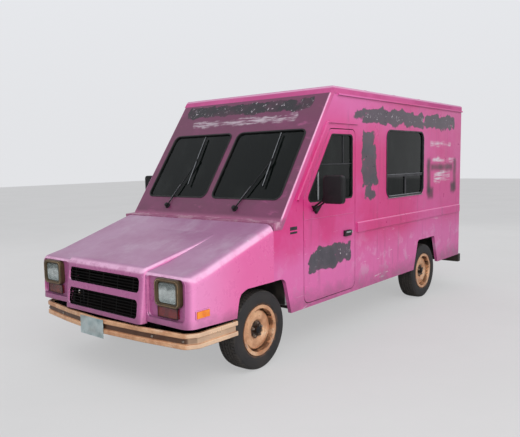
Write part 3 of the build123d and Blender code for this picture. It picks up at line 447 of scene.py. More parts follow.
def roofPaint():
    # sun-bleached on top, with a painted highlight along the rim's upper edge
    paint = roofPaintValues
    mat, shader = startMaterial("roofPaint")
    shader.inputs["Specular IOR Level"].default_value = 0.3
    xyz = axes()
    cloud = noise(1.4, 7, 0.65)
    colour = blend(remap(cloud, 0.35, 0.65), paint["top"], paint["topDull"])
    spots = remap(noise(11.0, 7, 0.7), 0.56, 0.70)
    colour = blend(times(spots, 0.45), colour, paint["stain"])
    rim = remap(xyz[2], 2.408, 2.394)
    rimTone = blend(remap(cloud, 0.4, 0.6), paint["rim"], paint["rimDull"])
    colour = blend(rim, colour, rimTone)
    # a pale band along the rim's upper edge: a painted highlight
    edge = times(remap(xyz[2], 2.396, 2.404), remap(xyz[2], 2.417, 2.409))
    colour = blend(times(edge, remap(cloud, 0.4, 0.6, 0.4, 0.9)), colour, paint["worn"])
    lay(shader, colour, vary(cloud, 0.55, 0.72))
    waves = calc("ADD", times(noise(2.0, 2), 5.0), noise(70.0, 3))
    bump(shader, waves, 0.15, 0.003)
    return mat


copperValues = {
    "light": rgb(240, 190, 148),
    "dark": rgb(206, 148, 110),
    # worn; also laid on the bumper's sideways faces as a painted highlight
    "worn": rgb(248, 220, 190),
    "rust": rgb(96, 58, 42),
    "dirt": rgb(78, 58, 48),
    # the bare hub centre's dark, also painted shade inboard and in the rim's well
    "bareHubAndShade": rgb(30, 23, 22),
    # painted shade in the channel between the bumper's beads
    "groove": rgb(66, 40, 32),
    "metallic": 0.45,
}


def copperPaint(name, hub=None):
    # sprayed copper metallic over old chrome; a rim, which has a hub, is dark at its bare centre round the
    # nuts, with painted shade inboard and in the well;
    # the bumper gets painted shade between its two beads and a painted highlight on its sideways faces
    paint = copperValues
    mat, shader = startMaterial(name, metallic=paint["metallic"])
    xyz = axes()
    cloud = noise(6.0, 6, 0.65)
    colour = blend(remap(cloud, 0.35, 0.68), paint["light"], paint["dark"])
    worn = remap(noise(4.0, 7, 0.7, (1, 1, 3)), 0.56, 0.66)
    colour = blend(times(worn, 0.5), colour, paint["worn"])
    rust = remap(noise(22.0, 7, 0.7), 0.60, 0.70)
    colour = blend(times(rust, 0.5), colour, paint["rust"])
    dirt = remap(noise(3.0, 5, 0.6), 0.45, 0.75, 0.0, 0.24)
    colour = blend(dirt, colour, paint["dirt"])
    if hub:
        uneven = vary(noise(14.0, 4), -0.008, 0.008)
        away = calc("ADD", fromCentre(xyz, hub), uneven)
        # dark at the bare centre round the nuts, with painted shade on the parts inboard of the face and in
        # the well
        middle = remap(away, 0.080, 0.066)
        out = calc("ABSOLUTE", xyz[0])
        inboardShade = remap(out, wheelMid + 0.046, wheelMid + 0.034)
        wellShade = times(remap(away, 0.156, 0.166), remap(away, 0.184, 0.178), 0.65)
        shaded = calc("MAXIMUM", calc("MAXIMUM", middle, inboardShade), wellShade)
        colour = blend(times(shaded, 0.95), colour, paint["bareHubAndShade"])
    else:
        # the bumper's sideways faces are paler: a painted highlight
        flankHighlight = remap(calc("ABSOLUTE", facing()[0]), 0.45, 0.9, 0.0, 0.6)
        colour = blend(flankHighlight, colour, paint["worn"])
        # the channel between the beads, where it faces forward, is darker: painted shade
        channelShade = times(remap(xyz[2], 0.408, 0.418), remap(xyz[2], 0.458, 0.448))
        ahead = remap(facing()[1], -0.35, -0.80, 0.25, 0.92)
        colour = blend(times(channelShade, ahead), colour, paint["groove"])
    lay(shader, colour, vary(cloud, 0.26, 0.42))
    bump(shader, calc("ADD", noise(160.0, 3), times(rust, 0.8)), 0.25, 0.0012)
    return mat


def plainFinish(name, light, dark, roughLow, roughHigh, scale=8.0, metallic=0.0, grain=120.0,
                grainDepth=0.0006, dust=None, dustShare=0.3, stretch=(1, 1, 1), coat=0.0, shine=0.5):
    # two tones in clouds, settled dust and a fine grain
    mat, shader = startMaterial(name, metallic=metallic, coat=coat)
    cloud = noise(scale, 6, 0.62, stretch)
    colour = blend(remap(cloud, 0.34, 0.68), light, dark)
    if dust:
        settled = remap(noise(scale * 0.4, 5, 0.65), 0.42, 0.72, 0.0, dustShare)
        colour = blend(settled, colour, dust)
    feed(shader.inputs["Base Color"], colour)
    shader.inputs["Specular IOR Level"].default_value = shine
    feed(shader.inputs["Roughness"], vary(cloud, roughLow, roughHigh))
    bump(shader, noise(grain, 3, 0.6, stretch), 0.35, grainDepth)
    return mat


# the dirt on panes and lamp glass
grimeValues = {"glass": rgb(120, 128, 124), "lens": rgb(128, 116, 104)}


def glassFinish(name, tint, alpha, roughness, streaks, shine):
    # dark panes with rain streaks
    mat, shader = startMaterial(name, roughness)
    smear = noise(4.0, 6, 0.6, (1, 1, 0.4))
    streaked = remap(smear, 0.5, 0.8, 0.0, streaks)
    colour = blend(streaked, tint, grimeValues["glass"])
    feed(shader.inputs["Base Color"], colour)
    feed(shader.inputs["Alpha"], remap(smear, 0.4, 0.8, alpha, min(1.0, alpha + streaks)))
    shader.inputs["Specular IOR Level"].default_value = shine
    feed(shader.inputs["Roughness"], remap(smear, 0.4, 0.8, roughness, roughness + 0.06))
    bump(shader, noise(1.6, 1), 0.05, 0.004)
    return mat


def lensFinish(name, tint, alpha, flutes, roughness=0.08):
    # ribbed lamp glass: flutes run up and down, as many in a metre as is said
    mat, shader = startMaterial(name, roughness, coat=0.6, coatRoughness=0.05)
    smear = noise(14.0, 5, 0.6)
    dirty = blend(remap(smear, 0.5, 0.75, 0.0, 0.35), tint, grimeValues["lens"])
    feed(shader.inputs["Base Color"], dirty)
    feed(shader.inputs["Alpha"], remap(smear, 0.4, 0.8, alpha, min(1.0, alpha + 0.1)))
    xyz = axes()
    rib = calc("SINE", times(calc("ADD", xyz[0], xyz[1]), flutes * 6.2832))
    block = calc("SINE", times(xyz[2], flutes * 2.2))
    bump(shader, calc("ADD", rib, times(block, 0.5)), 0.35, 0.002)
    return mat


tyreValues = {
    "dark": rgb(36, 35, 36),
    "worn": rgb(52, 49, 48),
    "tread": rgb(66, 61, 56),
    "overspray": rgb(112, 80, 62),
}


def tyreFinish(name, hub):
    # weathered rubber, dusty on the tread, a little copper overspray beside the rim
    paint = tyreValues
    mat, shader = startMaterial(name)
    xyz = axes()
    cloud = noise(7.0, 6, 0.65)
    colour = blend(remap(cloud, 0.35, 0.7), paint["dark"], paint["worn"])
    away = fromCentre(xyz, hub)
    away = calc("ADD", away, vary(noise(16.0, 4), -0.010, 0.010))
    colour = blend(remap(away, 0.234, 0.214, 0.0, 0.6), colour, paint["overspray"])
    colour = blend(remap(away, 0.318, 0.333, 0.0, 0.6), colour, paint["tread"])
    lay(shader, colour, vary(cloud, 0.60, 0.82))
    bump(shader, noise(220.0, 3), 0.3, 0.0006)
    return mat


# Mesh helpers: each adds a closed form to a bmesh
def shaped(bm, verts, centre, turn):
    matrix = Matrix.Translation(Vector(centre))
    if turn is not None:
        matrix = matrix @ turn.to_4x4()
    bmesh.ops.transform(bm, matrix=matrix, verts=verts)


def addBlock(bm, centre, size, edge=0.002, turn=None, steps=2):
    # a block with rounded edges
    verts = bmesh.ops.create_cube(bm, size=1.0)["verts"]
    bmesh.ops.scale(bm, vec=size, verts=verts)
    if edge:
        edges = list(dict.fromkeys(e for v in verts for e in v.link_edges))
        made = bmesh.ops.bevel(bm, geom=edges, offset=edge, segments=steps, profile=0.5, affect="EDGES")
        verts = list(dict.fromkeys(v for f in made["faces"] for v in f.verts))
    shaped(bm, verts, centre, turn)


def turnTo(axis):
    return Vector((0, 0, 1)).rotation_difference(Vector(axis)).to_matrix()


def addTurned(bm, centre, axis, profile, steps=16):
    # a form turned round an axis from (radius, height) pairs; six steps make a hexagon
    turn = turnTo(axis)
    base = Vector(centre)
    rings = []
    for radius, height in profile:
        if radius <= 1e-6:
            rings.append([bm.verts.new(base + turn @ Vector((0, 0, height)))])
            continue
        ring = []
        for k in range(steps):
            angle = 2 * math.pi * k / steps
            spot = Vector((radius * math.cos(angle), radius * math.sin(angle), height))
            ring.append(bm.verts.new(base + turn @ spot))
        rings.append(ring)
    for low, high in zip(rings, rings[1:]):
        for k in range(steps):
            n = (k + 1) % steps
            if len(low) == 1 and len(high) > 1:
                bm.faces.new((low[0], high[k], high[n]))
            elif len(high) == 1 and len(low) > 1:
                bm.faces.new((low[k], low[n], high[0]))
            elif len(low) > 1:
                bm.faces.new((low[k], low[n], high[n], high[k]))
    for ring, flip in ((rings[0], True), (rings[-1], False)):
        if len(ring) > 1:
            bm.faces.new(ring[::-1] if flip else ring)


def addBolt(bm, centre, axis, across=0.013, tall=0.006, washer=True):
    radius = across / 2 / math.cos(math.pi / 6)
    axis = Vector(axis).normalized()
    base = Vector(centre)
    if washer:
        rim = across * 0.78
        addTurned(bm, base, axis, [(rim, 0), (rim, 0.0012), (rim * 0.94, 0.0018)], 20)
        base = base + axis * 0.0016
    addTurned(bm, base, axis, [(radius, 0), (radius, tall * 0.82), (radius * 0.86, tall)], 6)


def addRivet(bm, centre, axis, radius=0.0045):
    dome = ((1, 0), (0.86, 0.28), (0.5, 0.45), (0, 0.5))
    addTurned(bm, centre, axis, [(radius * r, radius * h) for r, h in dome], 8)


def smoothLine(points, steps=6):
    # a rounded line through the given points
    spots = [Vector(p) for p in points]
    spots = [spots[0]] + spots + [spots[-1]]
    line = []
    for a, b, c, d in zip(spots, spots[1:], spots[2:], spots[3:]):
        for k in range(steps):
            t = k / steps
            line.append(0.5 * ((2 * b) + (c - a) * t + (2 * a - 5 * b + 4 * c - d) * t * t
                               + (3 * b - a - 3 * c + d) * t ** 3))
    return line + [spots[-1]]


def addTube(bm, line, radius, sides=10, flat=1.0, closed=False, up=(0, 0, 1)):
    # a round or flattened bar along a line, its ends closed
    line = [Vector(p) for p in line]
    count = len(line)
    rings = []
    for k, spot in enumerate(line):
        before = line[(k - 1) % count] if closed or k > 0 else spot
        after = line[(k + 1) % count] if closed or k < count - 1 else spot
        way = (after - before).normalized()
        side = way.cross(Vector(up))
        side = side.normalized() if side.length > 1e-6 else way.orthogonal().normalized()
        over = side.cross(way).normalized()
        ring = []
        for j in range(sides):
            angle = 2 * math.pi * j / sides
            away = side * radius * math.cos(angle) + over * radius * flat * math.sin(angle)
            ring.append(bm.verts.new(spot + away))
        rings.append(ring)
    pairs = list(zip(rings, rings[1:]))
    if closed:
        pairs.append((rings[-1], rings[0]))
    for low, high in pairs:
        for j in range(sides):
            n = (j + 1) % sides
            bm.faces.new((low[j], low[n], high[n], high[j]))
    if not closed:
        bm.faces.new(rings[0][::-1])
        bm.faces.new(rings[-1])


def addHose(bm, points, radius, sides=8, flat=1.0):
    # a bar along a smooth line; the points are (x, station, height)
    addTube(bm, smoothLine([(x, at(station), z) for x, station, z in points]), radius, sides, flat)


def roundedLoop(wide, tall, radius, steps=6):
    # the points of a rounded rectangle round the middle, anticlockwise
    loop = []
    for sx, sy, start in ((1, 1, 0), (-1, 1, 90), (-1, -1, 180), (1, -1, 270)):
        for k in range(steps + 1):
            angle = math.radians(start + 90 * k / steps)
            loop.append((sx * (wide / 2 - radius) + radius * math.cos(angle),
                         sy * (tall / 2 - radius) + radius * math.sin(angle)))
    return loop


def frontLoop(x, station, z, size, radius, steps=4):
    # a rounded rectangle that stands across the van
    return [(x + u, at(station), z + v) for u, v in roundedLoop(*size, radius, steps)]


def sideLoop(x, station, z, size, radius, steps=4):
    # a rounded rectangle in the side view
    return [(x, at(station + u * 1000), z + v) for u, v in roundedLoop(*size, radius, steps)]


def addFrame(bm, rings, closed=False):
    # joins a list of equal loops of 3-D points into a skin; closed joins the last to the first
    made = [[bm.verts.new(Vector(p)) for p in ring] for ring in rings]
    pairs = list(zip(made, made[1:]))
    if closed:
        pairs.append((made[-1], made[0]))
    for low, high in pairs:
        for k in range(len(low)):
            n = (k + 1) % len(low)
            bm.faces.new((low[k], low[n], high[n], high[k]))
    return made


def addRim(bm, middle, size, radius, turns):
    # a closed rim across the van; each turn is (growth, station)
    wide, tall = size
    addFrame(bm, [frontLoop(middle[0], station, middle[1], (wide + grow, tall + grow), radius)
                  for grow, station in turns], closed=True)


def addStack(bm, rings):
    # a skin through the loops, with both ends closed
    made = addFrame(bm, rings)
    bm.faces.new(made[0])
    bm.faces.new(made[-1])


def finishPiece(bm, name, look, body="van", smooth=35.0, replaced=()):
    # turns a bmesh into a piece that rides on a body, with one of the finishes
    bmesh.ops.recalc_face_normals(bm, faces=bm.faces)
    mesh = bpy.data.meshes.new(name)
    bm.to_mesh(mesh)
    bm.free()
    if smooth:
        for polygon in mesh.polygons:
            polygon.use_smooth = True
        mesh.set_sharp_from_angle(angle=math.radians(smooth))
    mesh.materials.append(finish[look])
    piece = bpy.data.objects.new(name, mesh)
    bpy.context.scene.collection.objects.link(piece)
    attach(piece, body)
    if replaced:
        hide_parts(*replaced)
    return piece


# each wheel's distance behind the front axle, its side and its end of the van
wheels = {
    "front_left": (0.0, 1, "Front"),
    "front_right": (0.0, -1, "Front"),
    "rear_left": (wheelbase, 1, "Rear"),
    "rear_right": (wheelbase, -1, "Rear"),
}
hubFront = (frontAxle, axleHeight)
hubRear = (frontAxle + wheelbase, axleHeight)
lampValues = {
    "red": rgb(112, 26, 18),
    "redDark": rgb(72, 16, 12),
    "amber": rgb(250, 146, 20),
    "amberDark": rgb(232, 112, 10),
    "amberFrom": (0.950, 0.955),  # half widths between which the fender markers begin
    "flutes": 700.0,
    "silver": rgb(236, 240, 238),
    # painted reflections in the bowl: dark at the top, greyer low down
    "darkReflection": rgb(82, 88, 84),
    "lowReflection": rgb(150, 158, 156),
    "darkReflectionHeights": (0.786, 0.822),
    "lowReflectionHeights": (0.760, 0.712),
}


def signalLens():
    # the lamp units are one node with red lenses in front and amber markers on the fenders
    paint = lampValues
    mat, shader = startMaterial("turnAndMarkerLens", 0.14, coat=0.6, coatRoughness=0.06)
    xyz = axes()
    outside = remap(calc("ABSOLUTE", xyz[0]), *paint["amberFrom"])
    cloud = remap(noise(14.0, 5), 0.35, 0.7)
    red = blend(cloud, paint["red"], paint["redDark"])
    amber = blend(cloud, paint["amber"], paint["amberDark"])
    feed(shader.inputs["Base Color"], blend(outside, red, amber))
    across = calc("ADD", xyz[0], xyz[1])
    bump(shader, calc("SINE", times(across, paint["flutes"])), 0.4, 0.0015)
    return mat


def lampBowl():
    # silvering with painted reflections: dark at the top, bright in the middle, greyer low down
    paint = lampValues
    mat, shader = startMaterial("lampBowl", 0.12, metallic=0.6)
    xyz = axes()
    cloud = noise(22.0, 4)
    dull = calc("ADD", xyz[2], vary(cloud, -0.012, 0.012))
    darkReflectionShare = remap(dull, *paint["darkReflectionHeights"])
    colour = blend(darkReflectionShare, paint["silver"], paint["darkReflection"])
    colour = blend(remap(dull, *paint["lowReflectionHeights"]), colour, paint["lowReflection"])
    lay(shader, colour, vary(cloud, 0.10, 0.26))
    return mat


finish = {
    "sideLeft": sidePaint("sidePaintLeft", leftPatches, leftSprays, leftHazes),
    "sideRight": sidePaint("sidePaintRight", dull=0.1),
    "nose": nosePaint(),
    "screen": screenPaint(),
    "roof": roofPaint(),
    "copper": copperPaint("bumperCopper"),
    "rimFront": copperPaint("rimCopperFront", hubFront),
    "rimRear": copperPaint("rimCopperRear", hubRear),
    "tyreFront": tyreFinish("tyreRubberFront", hubFront),
    "tyreRear": tyreFinish("tyreRubberRear", hubRear),
    "brass": plainFinish(
        "bezelBrass", rgb(92, 74, 50), rgb(70, 58, 42), 0.30, 0.46, scale=9.0, metallic=0.35, grain=140.0,
        dust=rgb(58, 46, 38), dustShare=0.5),
    "chassis": plainFinish(
        "chassisBlack", rgb(30, 29, 29), rgb(46, 42, 39), 0.5, 0.75, scale=9.0, dust=rgb(88, 76, 64),
        dustShare=0.45),
    "steel": plainFinish(
        "oilySteel", rgb(128, 126, 122), rgb(92, 88, 84), 0.32, 0.55, scale=12.0, metallic=0.8,
        dust=rgb(82, 66, 54), dustShare=0.45),
    "iron": plainFinish(
        "castIron", rgb(66, 64, 62), rgb(46, 43, 41), 0.5, 0.72, scale=14.0, metallic=0.35, grain=180.0,
        grainDepth=0.0014, dust=rgb(88, 70, 56), dustShare=0.5),
    "alloy": plainFinish(
        "windowAlloy", rgb(176, 178, 180), rgb(148, 150, 154), 0.24, 0.40, scale=10.0, metallic=0.8,
        stretch=(1, 1, 3)),
    "darkAlloy": plainFinish(
        "darkAlloy", rgb(62, 62, 66), rgb(46, 46, 50), 0.32, 0.5, scale=10.0, metallic=0.4,
        dust=rgb(96, 90, 86)),
    "zinc": plainFinish(
        "greyPrimer", rgb(142, 142, 144), rgb(120, 119, 120), 0.45, 0.62, scale=6.0, dust=rgb(110, 98, 86),
        dustShare=0.4),
    "lining": plainFinish(
        "whiteLining", rgb(206, 204, 198), rgb(184, 181, 174), 0.35, 0.5, scale=4.0,
        dust=rgb(150, 140, 126), dustShare=0.4),
    "plank": plainFinish(
        "floorPly", rgb(122, 92, 62), rgb(96, 70, 46), 0.5, 0.7, scale=5.0, grain=60.0, grainDepth=0.0014,
        dust=rgb(70, 60, 52), dustShare=0.5, stretch=(6, 0.5, 6)),
    "rubber": plainFinish(
        "blackRubber", rgb(17, 17, 18), rgb(28, 27, 27), 0.5, 0.7, scale=12.0, dust=rgb(80, 74, 70),
        dustShare=0.15),
    # near black with almost no shine: the dark seals in the shut lines, and painted shade behind the bumper
    "gapAndShade": plainFinish("sealAndShadeBlack", rgb(4, 3, 4), rgb(8, 7, 7), 0.8, 0.95, scale=12.0, shine=0.05),
    "plastic": plainFinish(
        "blackPlastic", rgb(15, 15, 17), rgb(24, 23, 25), 0.36, 0.54, scale=10.0, grain=300.0,
        grainDepth=0.0008, dust=rgb(70, 66, 66), dustShare=0.10, shine=0.3),
    "dash": plainFinish(
        "dashPlastic", rgb(58, 56, 58), rgb(46, 44, 46), 0.5, 0.66, scale=10.0, grain=300.0,
        grainDepth=0.0008, dust=rgb(120, 114, 108), dustShare=0.25),
    "vinyl": plainFinish(
        "seatVinyl", rgb(60, 56, 57), rgb(42, 39, 40), 0.40, 0.58, scale=7.0, grain=210.0,
        grainDepth=0.0012, dust=rgb(110, 102, 96), dustShare=0.15),
    "red": lensFinish("tailLens", rgb(150, 16, 18), alpha=1.0, flutes=120.0, roughness=0.14),
    "chrome": plainFinish(
        "lampSilver", rgb(214, 216, 218), rgb(188, 190, 194), 0.10, 0.22, scale=12.0, metallic=0.95),
    "nut": plainFinish(
        "brightNuts", rgb(170, 164, 156), rgb(120, 108, 96), 0.22, 0.42, scale=40.0, metallic=0.85,
        dust=rgb(96, 66, 48), dustShare=0.4),
    "plate": plainFinish(
        "blankPlate", rgb(186, 198, 198), rgb(150, 170, 172), 0.3, 0.45, scale=12.0, metallic=0.1,
        dust=rgb(120, 112, 104), dustShare=0.45),
    "mirror": plainFinish(
        "mirrorSilver", rgb(216, 220, 222), rgb(200, 204, 206), 0.03, 0.08, scale=3.0, metallic=1.0,
        grain=20.0, grainDepth=0.0002),
    "glass": glassFinish(
        "tintedGlass", rgb(7, 12, 10), alpha=0.90, roughness=0.03, streaks=0.05, shine=0.22),
    "lens": lensFinish("lampLens", rgb(176, 188, 186), alpha=0.16, flutes=55.0, roughness=0.05),
    # paler than the bezel's brass: a painted highlight on the bead
    "bezelBeadHighlight": plainFinish(
        "bezelBeadHighlight", rgb(168, 138, 104), rgb(116, 94, 68), 0.28, 0.42, scale=16.0, metallic=0.4,
        grain=140.0, dust=rgb(76, 60, 48), dustShare=0.45),
    # black mesh and cooler, darker than the other black parts: painted shade inside the grille openings
    "mesh": plainFinish(
        "grilleBlackAndShade", rgb(10, 9, 9), rgb(16, 14, 13), 0.55, 0.75, scale=14.0, metallic=0.1,
        dust=rgb(38, 30, 28), dustShare=0.35, shine=0.12),
    "coreAndShade": plainFinish(
        "coolerCoreAndShade", rgb(20, 17, 17), rgb(14, 12, 12), 0.5, 0.7, scale=14.0, metallic=0.2, grain=380.0,
        grainDepth=0.003, dust=rgb(34, 28, 26), dustShare=0.4, stretch=(1, 1, 0.15), shine=0.1),
    "signal": signalLens(),
    "bowl": lampBowl(),
}
print("stage: materials made,", len(finish))

nodeFinish = {
    "roof": "roof", "windshield_frame": "screen", "front_clip": "nose", "rear_frame": "sideRight",
    "bulkhead": "zinc", "floor": "plank", "wheelhouses": "chassis", "chassis_frame": "chassis",
    "front_suspension": "chassis", "rear_axle": "chassis", "engine": "iron", "radiator": "coreAndShade",
    "exhaust": "steel", "fuel_tank": "zinc", "front_bumper": "copper", "rear_bumper": "chassis",
    "lamp_bezels": "brass", "side_window_frames": "darkAlloy", "windshield_rubber": "rubber",
    "dashboard": "dash", "seats": "vinyl", "wipers": "plastic", "tail_lamps": "red",
    "headlights": "lens", "turn_lamps": "signal", "grille": "mesh", "blank_plate": "plate",
    "door_hinge_pins": "steel", "steering_rack": "steel", "windshield_panes": "glass",
    "side_window_panes": "glass", "side_wall_left": "sideLeft", "side_wall_right": "sideRight",
    "door_left": "sideLeft", "door_right": "sideRight",
}
pairFinish = {"rear_door": "sideRight", "knuckle": "iron", "door_glass": "glass",
              "rear_glass": "glass", "door_trim": "rubber", "mirror": "plastic"}
for side, flip in bothSides:
    for name, look in pairFinish.items():
        nodeFinish[name + "_" + side] = look
for label, (station, flip, end) in wheels.items():
    nodeFinish["tyre_" + label] = "tyre" + end
    nodeFinish["rim_" + label] = "rim" + end
for name, node in cadNodes.items():
    node.data.materials.clear()
    node.data.materials.append(finish[nodeFinish[name]])
print("stage: finishes laid on the frame's nodes")

# Tyres: worn all-season tread over the plain solid's outline, which they replace
tyreShape = {
    "pitches": 68,
    "grooves": (-45.0, -15.5, 15.5, 45.0),
    "grooveHalf": 3.6,
    "grooveDraft": 0.9,
    "grooveDepth": 6.5,
    "cutDepths": {"shoulder": 5.0, "rib": 2.4},
    "cutShares": ((0.0, False), (0.76, False), (0.80, True), (0.96, True)),
    "slant": 0.012,
    "radius": 334.0,
    "crownHalf": 84.0,
    "crownDrop": 7.0,
    "shoulder": (84.0, 78.0, 66.0, 54.0),
    "ribSteps": (7.0, 16.0),
    "side": [(80.0, 190.4), (84.0, 212.0), (89.0, 220.0), (96.0, 231.0), (97.6, 234.0),
             (97.2, 237.0), (100.6, 250.0), (102.2, 264.0), (101.2, 284.0), (98.6, 300.0),
             (97.8, 303.0), (97.6, 306.0), (93.0, 313.0), (89.0, 318.5)],
}


def crownColumn(x, kind, drop=0.0):
    fall = tyreShape["crownDrop"] * (abs(x) / tyreShape["crownHalf"]) ** 4
    return x, tyreShape["radius"] - fall - drop, kind


def tyreColumns():
    # (offset, radius, kind) across the tyre, from one bead to the other, in millimetres
    columns = [(x, radius, "side") for x, radius in tyreShape["side"]]
    columns += [crownColumn(x, "shoulder") for x in tyreShape["shoulder"]]
    deep, half, draft = tyreShape["grooveDepth"], tyreShape["grooveHalf"], tyreShape["grooveDraft"]
    for centre in sorted(tyreShape["grooves"], reverse=True):
        for shift, drop in ((half, 0.0), (half - draft, deep), (draft - half, deep), (-half, 0.0)):
            columns.append(crownColumn(centre + shift, "groove" if drop else "rib", drop))
        if centre > min(tyreShape["grooves"]):
            columns += [crownColumn(centre - half - step, "rib") for step in tyreShape["ribSteps"]]
    columns += [crownColumn(-x, "shoulder") for x in reversed(tyreShape["shoulder"])]
    columns += [(-x, radius, "side") for x, radius in reversed(tyreShape["side"])]
    return columns


def buildTyre(label, station, flip, end):
    columns = tyreColumns()
    pitch = 2 * math.pi / tyreShape["pitches"]
    middle = Vector((flip * wheelMid, frontAxle + station, axleHeight))
    bm = bmesh.new()
    rows = []
    for p in range(tyreShape["pitches"]):
        for share, cut in tyreShape["cutShares"]:
            row = []
            for x, radius, kind in columns:
                drop = tyreShape["cutDepths"].get(kind, 0.0) if cut else 0.0
                lean = tyreShape["slant"] * abs(x) / 10.0 if kind != "side" else 0.0
                angle = (p + share) * pitch + lean * pitch * 4
                reach = (radius - drop) / 1000.0
                away = (flip * x / 1000.0, reach * math.cos(angle), reach * math.sin(angle))
                row.append(bm.verts.new(middle + Vector(away)))
            rows.append(row)
    for k, row in enumerate(rows):
        nextRow = rows[(k + 1) % len(rows)]
        for j in range(len(row)):
            n = (j + 1) % len(row)
            bm.faces.new((row[j], row[n], nextRow[n], nextRow[j]))
    finishPiece(bm, "treadedTyre_" + label, "tyre" + end, "wheel_" + label, 28.0,
                ("tyre_" + label,))


# what stands on a rim: how far out from the wheel's middle plane, and on which circle
wheelDetail = {
    "nuts": 5,
    "nutOut": 0.048,
    "nutCircle": 0.05715,
    "nutAcross": 0.021,
    "nutTall": 0.017,
    "capOut": 0.070,
    "capRadius": 0.030,
    "stemOut": 0.062,
    "stemCircle": 0.176,
    "stemAngle": 32.0,
    "weightOut": 0.0905,
    "weightCircle": 0.2035,
    "weightSpans": ((200.0, 14.0), (318.0, 9.0)),
}


def buildWheelDetail(label, station, flip):
    # lug nuts on coned seats, the dust cap, the valve stem and two balance weights
    detail = wheelDetail
    body = "wheel_" + label
    out = Vector((flip, 0, 0))

    def onWheel(reach, circle, degrees):
        angle = math.radians(degrees)
        return Vector((flip * (wheelMid + reach), frontAxle + station + circle * math.cos(angle),
                       axleHeight + circle * math.sin(angle)))

    bm = bmesh.new()
    radius = detail["nutAcross"] / 2 / math.cos(math.pi / 6)
    tall = detail["nutTall"]
    for k in range(detail["nuts"]):
        spot = onWheel(detail["nutOut"], detail["nutCircle"], 90 + 360 / detail["nuts"] * k)
        addTurned(bm, spot, out, [(radius * 1.22, 0), (radius * 1.18, 0.003), (radius, 0.004)], 20)
        addTurned(bm, spot + out * 0.003, out, [(radius, 0), (radius, tall * 0.8), (radius * 0.8, tall)], 6)
        stud = [(radius * 0.5, 0), (radius * 0.5, 0.004), (radius * 0.4, 0.005)]
        addTurned(bm, spot + out * (tall + 0.001), out, stud, 12)
    finishPiece(bm, "lugNuts_" + label, "nut", body)
    bm = bmesh.new()
    cap = detail["capRadius"]
    dome = [(cap, 0), (cap, 0.003), (cap * 0.86, 0.007), (cap * 0.4, 0.010), (0, 0.0106)]
    addTurned(bm, onWheel(detail["capOut"], 0, 0), out, dome, 28)
    stem = onWheel(detail["stemOut"], detail["stemCircle"], detail["stemAngle"])
    addTurned(bm, stem - out * 0.01, out, [(0.0055, 0), (0.005, 0.012), (0.0042, 0.026), (0.0044, 0.027),
                                           (0.0044, 0.036), (0.003, 0.038)], 12)
    finishPiece(bm, "hubCapAndStem_" + label, "plastic", body)
    bm = bmesh.new()
    for start, span in detail["weightSpans"]:
        line = [onWheel(detail["weightOut"], detail["weightCircle"], start + span * k / 6)
                for k in range(7)]
        addTube(bm, line, 0.0038, 8, up=(flip, 0, 0))
    finishPiece(bm, "balanceWeights_" + label, "zinc", body)


for label, (station, flip, end) in wheels.items():
    buildTyre(label, station, flip, end)
    buildWheelDetail(label, station, flip)
print("stage: tyres and wheel details built")

# Head lamps: a silvered bowl behind a fluted, slightly crowned lens
lampShape = {
    "middle": (0.754, 0.780),
    "station": -857.0,
    "size": (0.190, 0.156),
    # each step of the bowl: how much narrower and lower, corner radius and depth
    "bowl": ((0, 0, 0.026, 0.030), (0, 0, 0.026, 0.006), (0.004, 0.004, 0.025, 0.004),
             (0.010, 0.010, 0.024, 0.006), (0.030, 0.026, 0.030, 0.013), (0.064, 0.052, 0.034, 0.019),
             (0.104, 0.082, 0.030, 0.0235), (0.140, 0.112, 0.020, 0.0255)),
    "bulbSteps": (0.028, 0.019),
    "lensCells": (56, 22),
    "lensPlay": 0.008,
    "lensThick": 0.0026,
    "cornerPower": 7,
    "crown": 0.0045,
    "flutePitch": 0.0072,
    "fluteDepth": 0.0007,
    "bars": (-0.022, 0.024),
}


def buildLampBowl(side, cx, cz):
    wide, tall = lampShape["size"]
    front = at(lampShape["station"])
    rings = []
    for dw, dt, radius, back in lampShape["bowl"]:
        loop = roundedLoop(wide - dw, tall - dt, radius)
        rings.append([(cx + u, front + back, cz + v) for u, v in loop])
    bm = bmesh.new()
    addStack(bm, rings)
    for k, reach in enumerate(lampShape["bulbSteps"]):
        step = [(reach, 0), (reach, 0.003), (reach * 0.8, 0.0045)]
        addTurned(bm, (cx, front + 0.0262 - 0.003 * k, cz), (0, -1, 0), step, 24)
    finishPiece(bm, "lampReflector_" + side, "bowl", "clip", 40.0, ("headlights",))


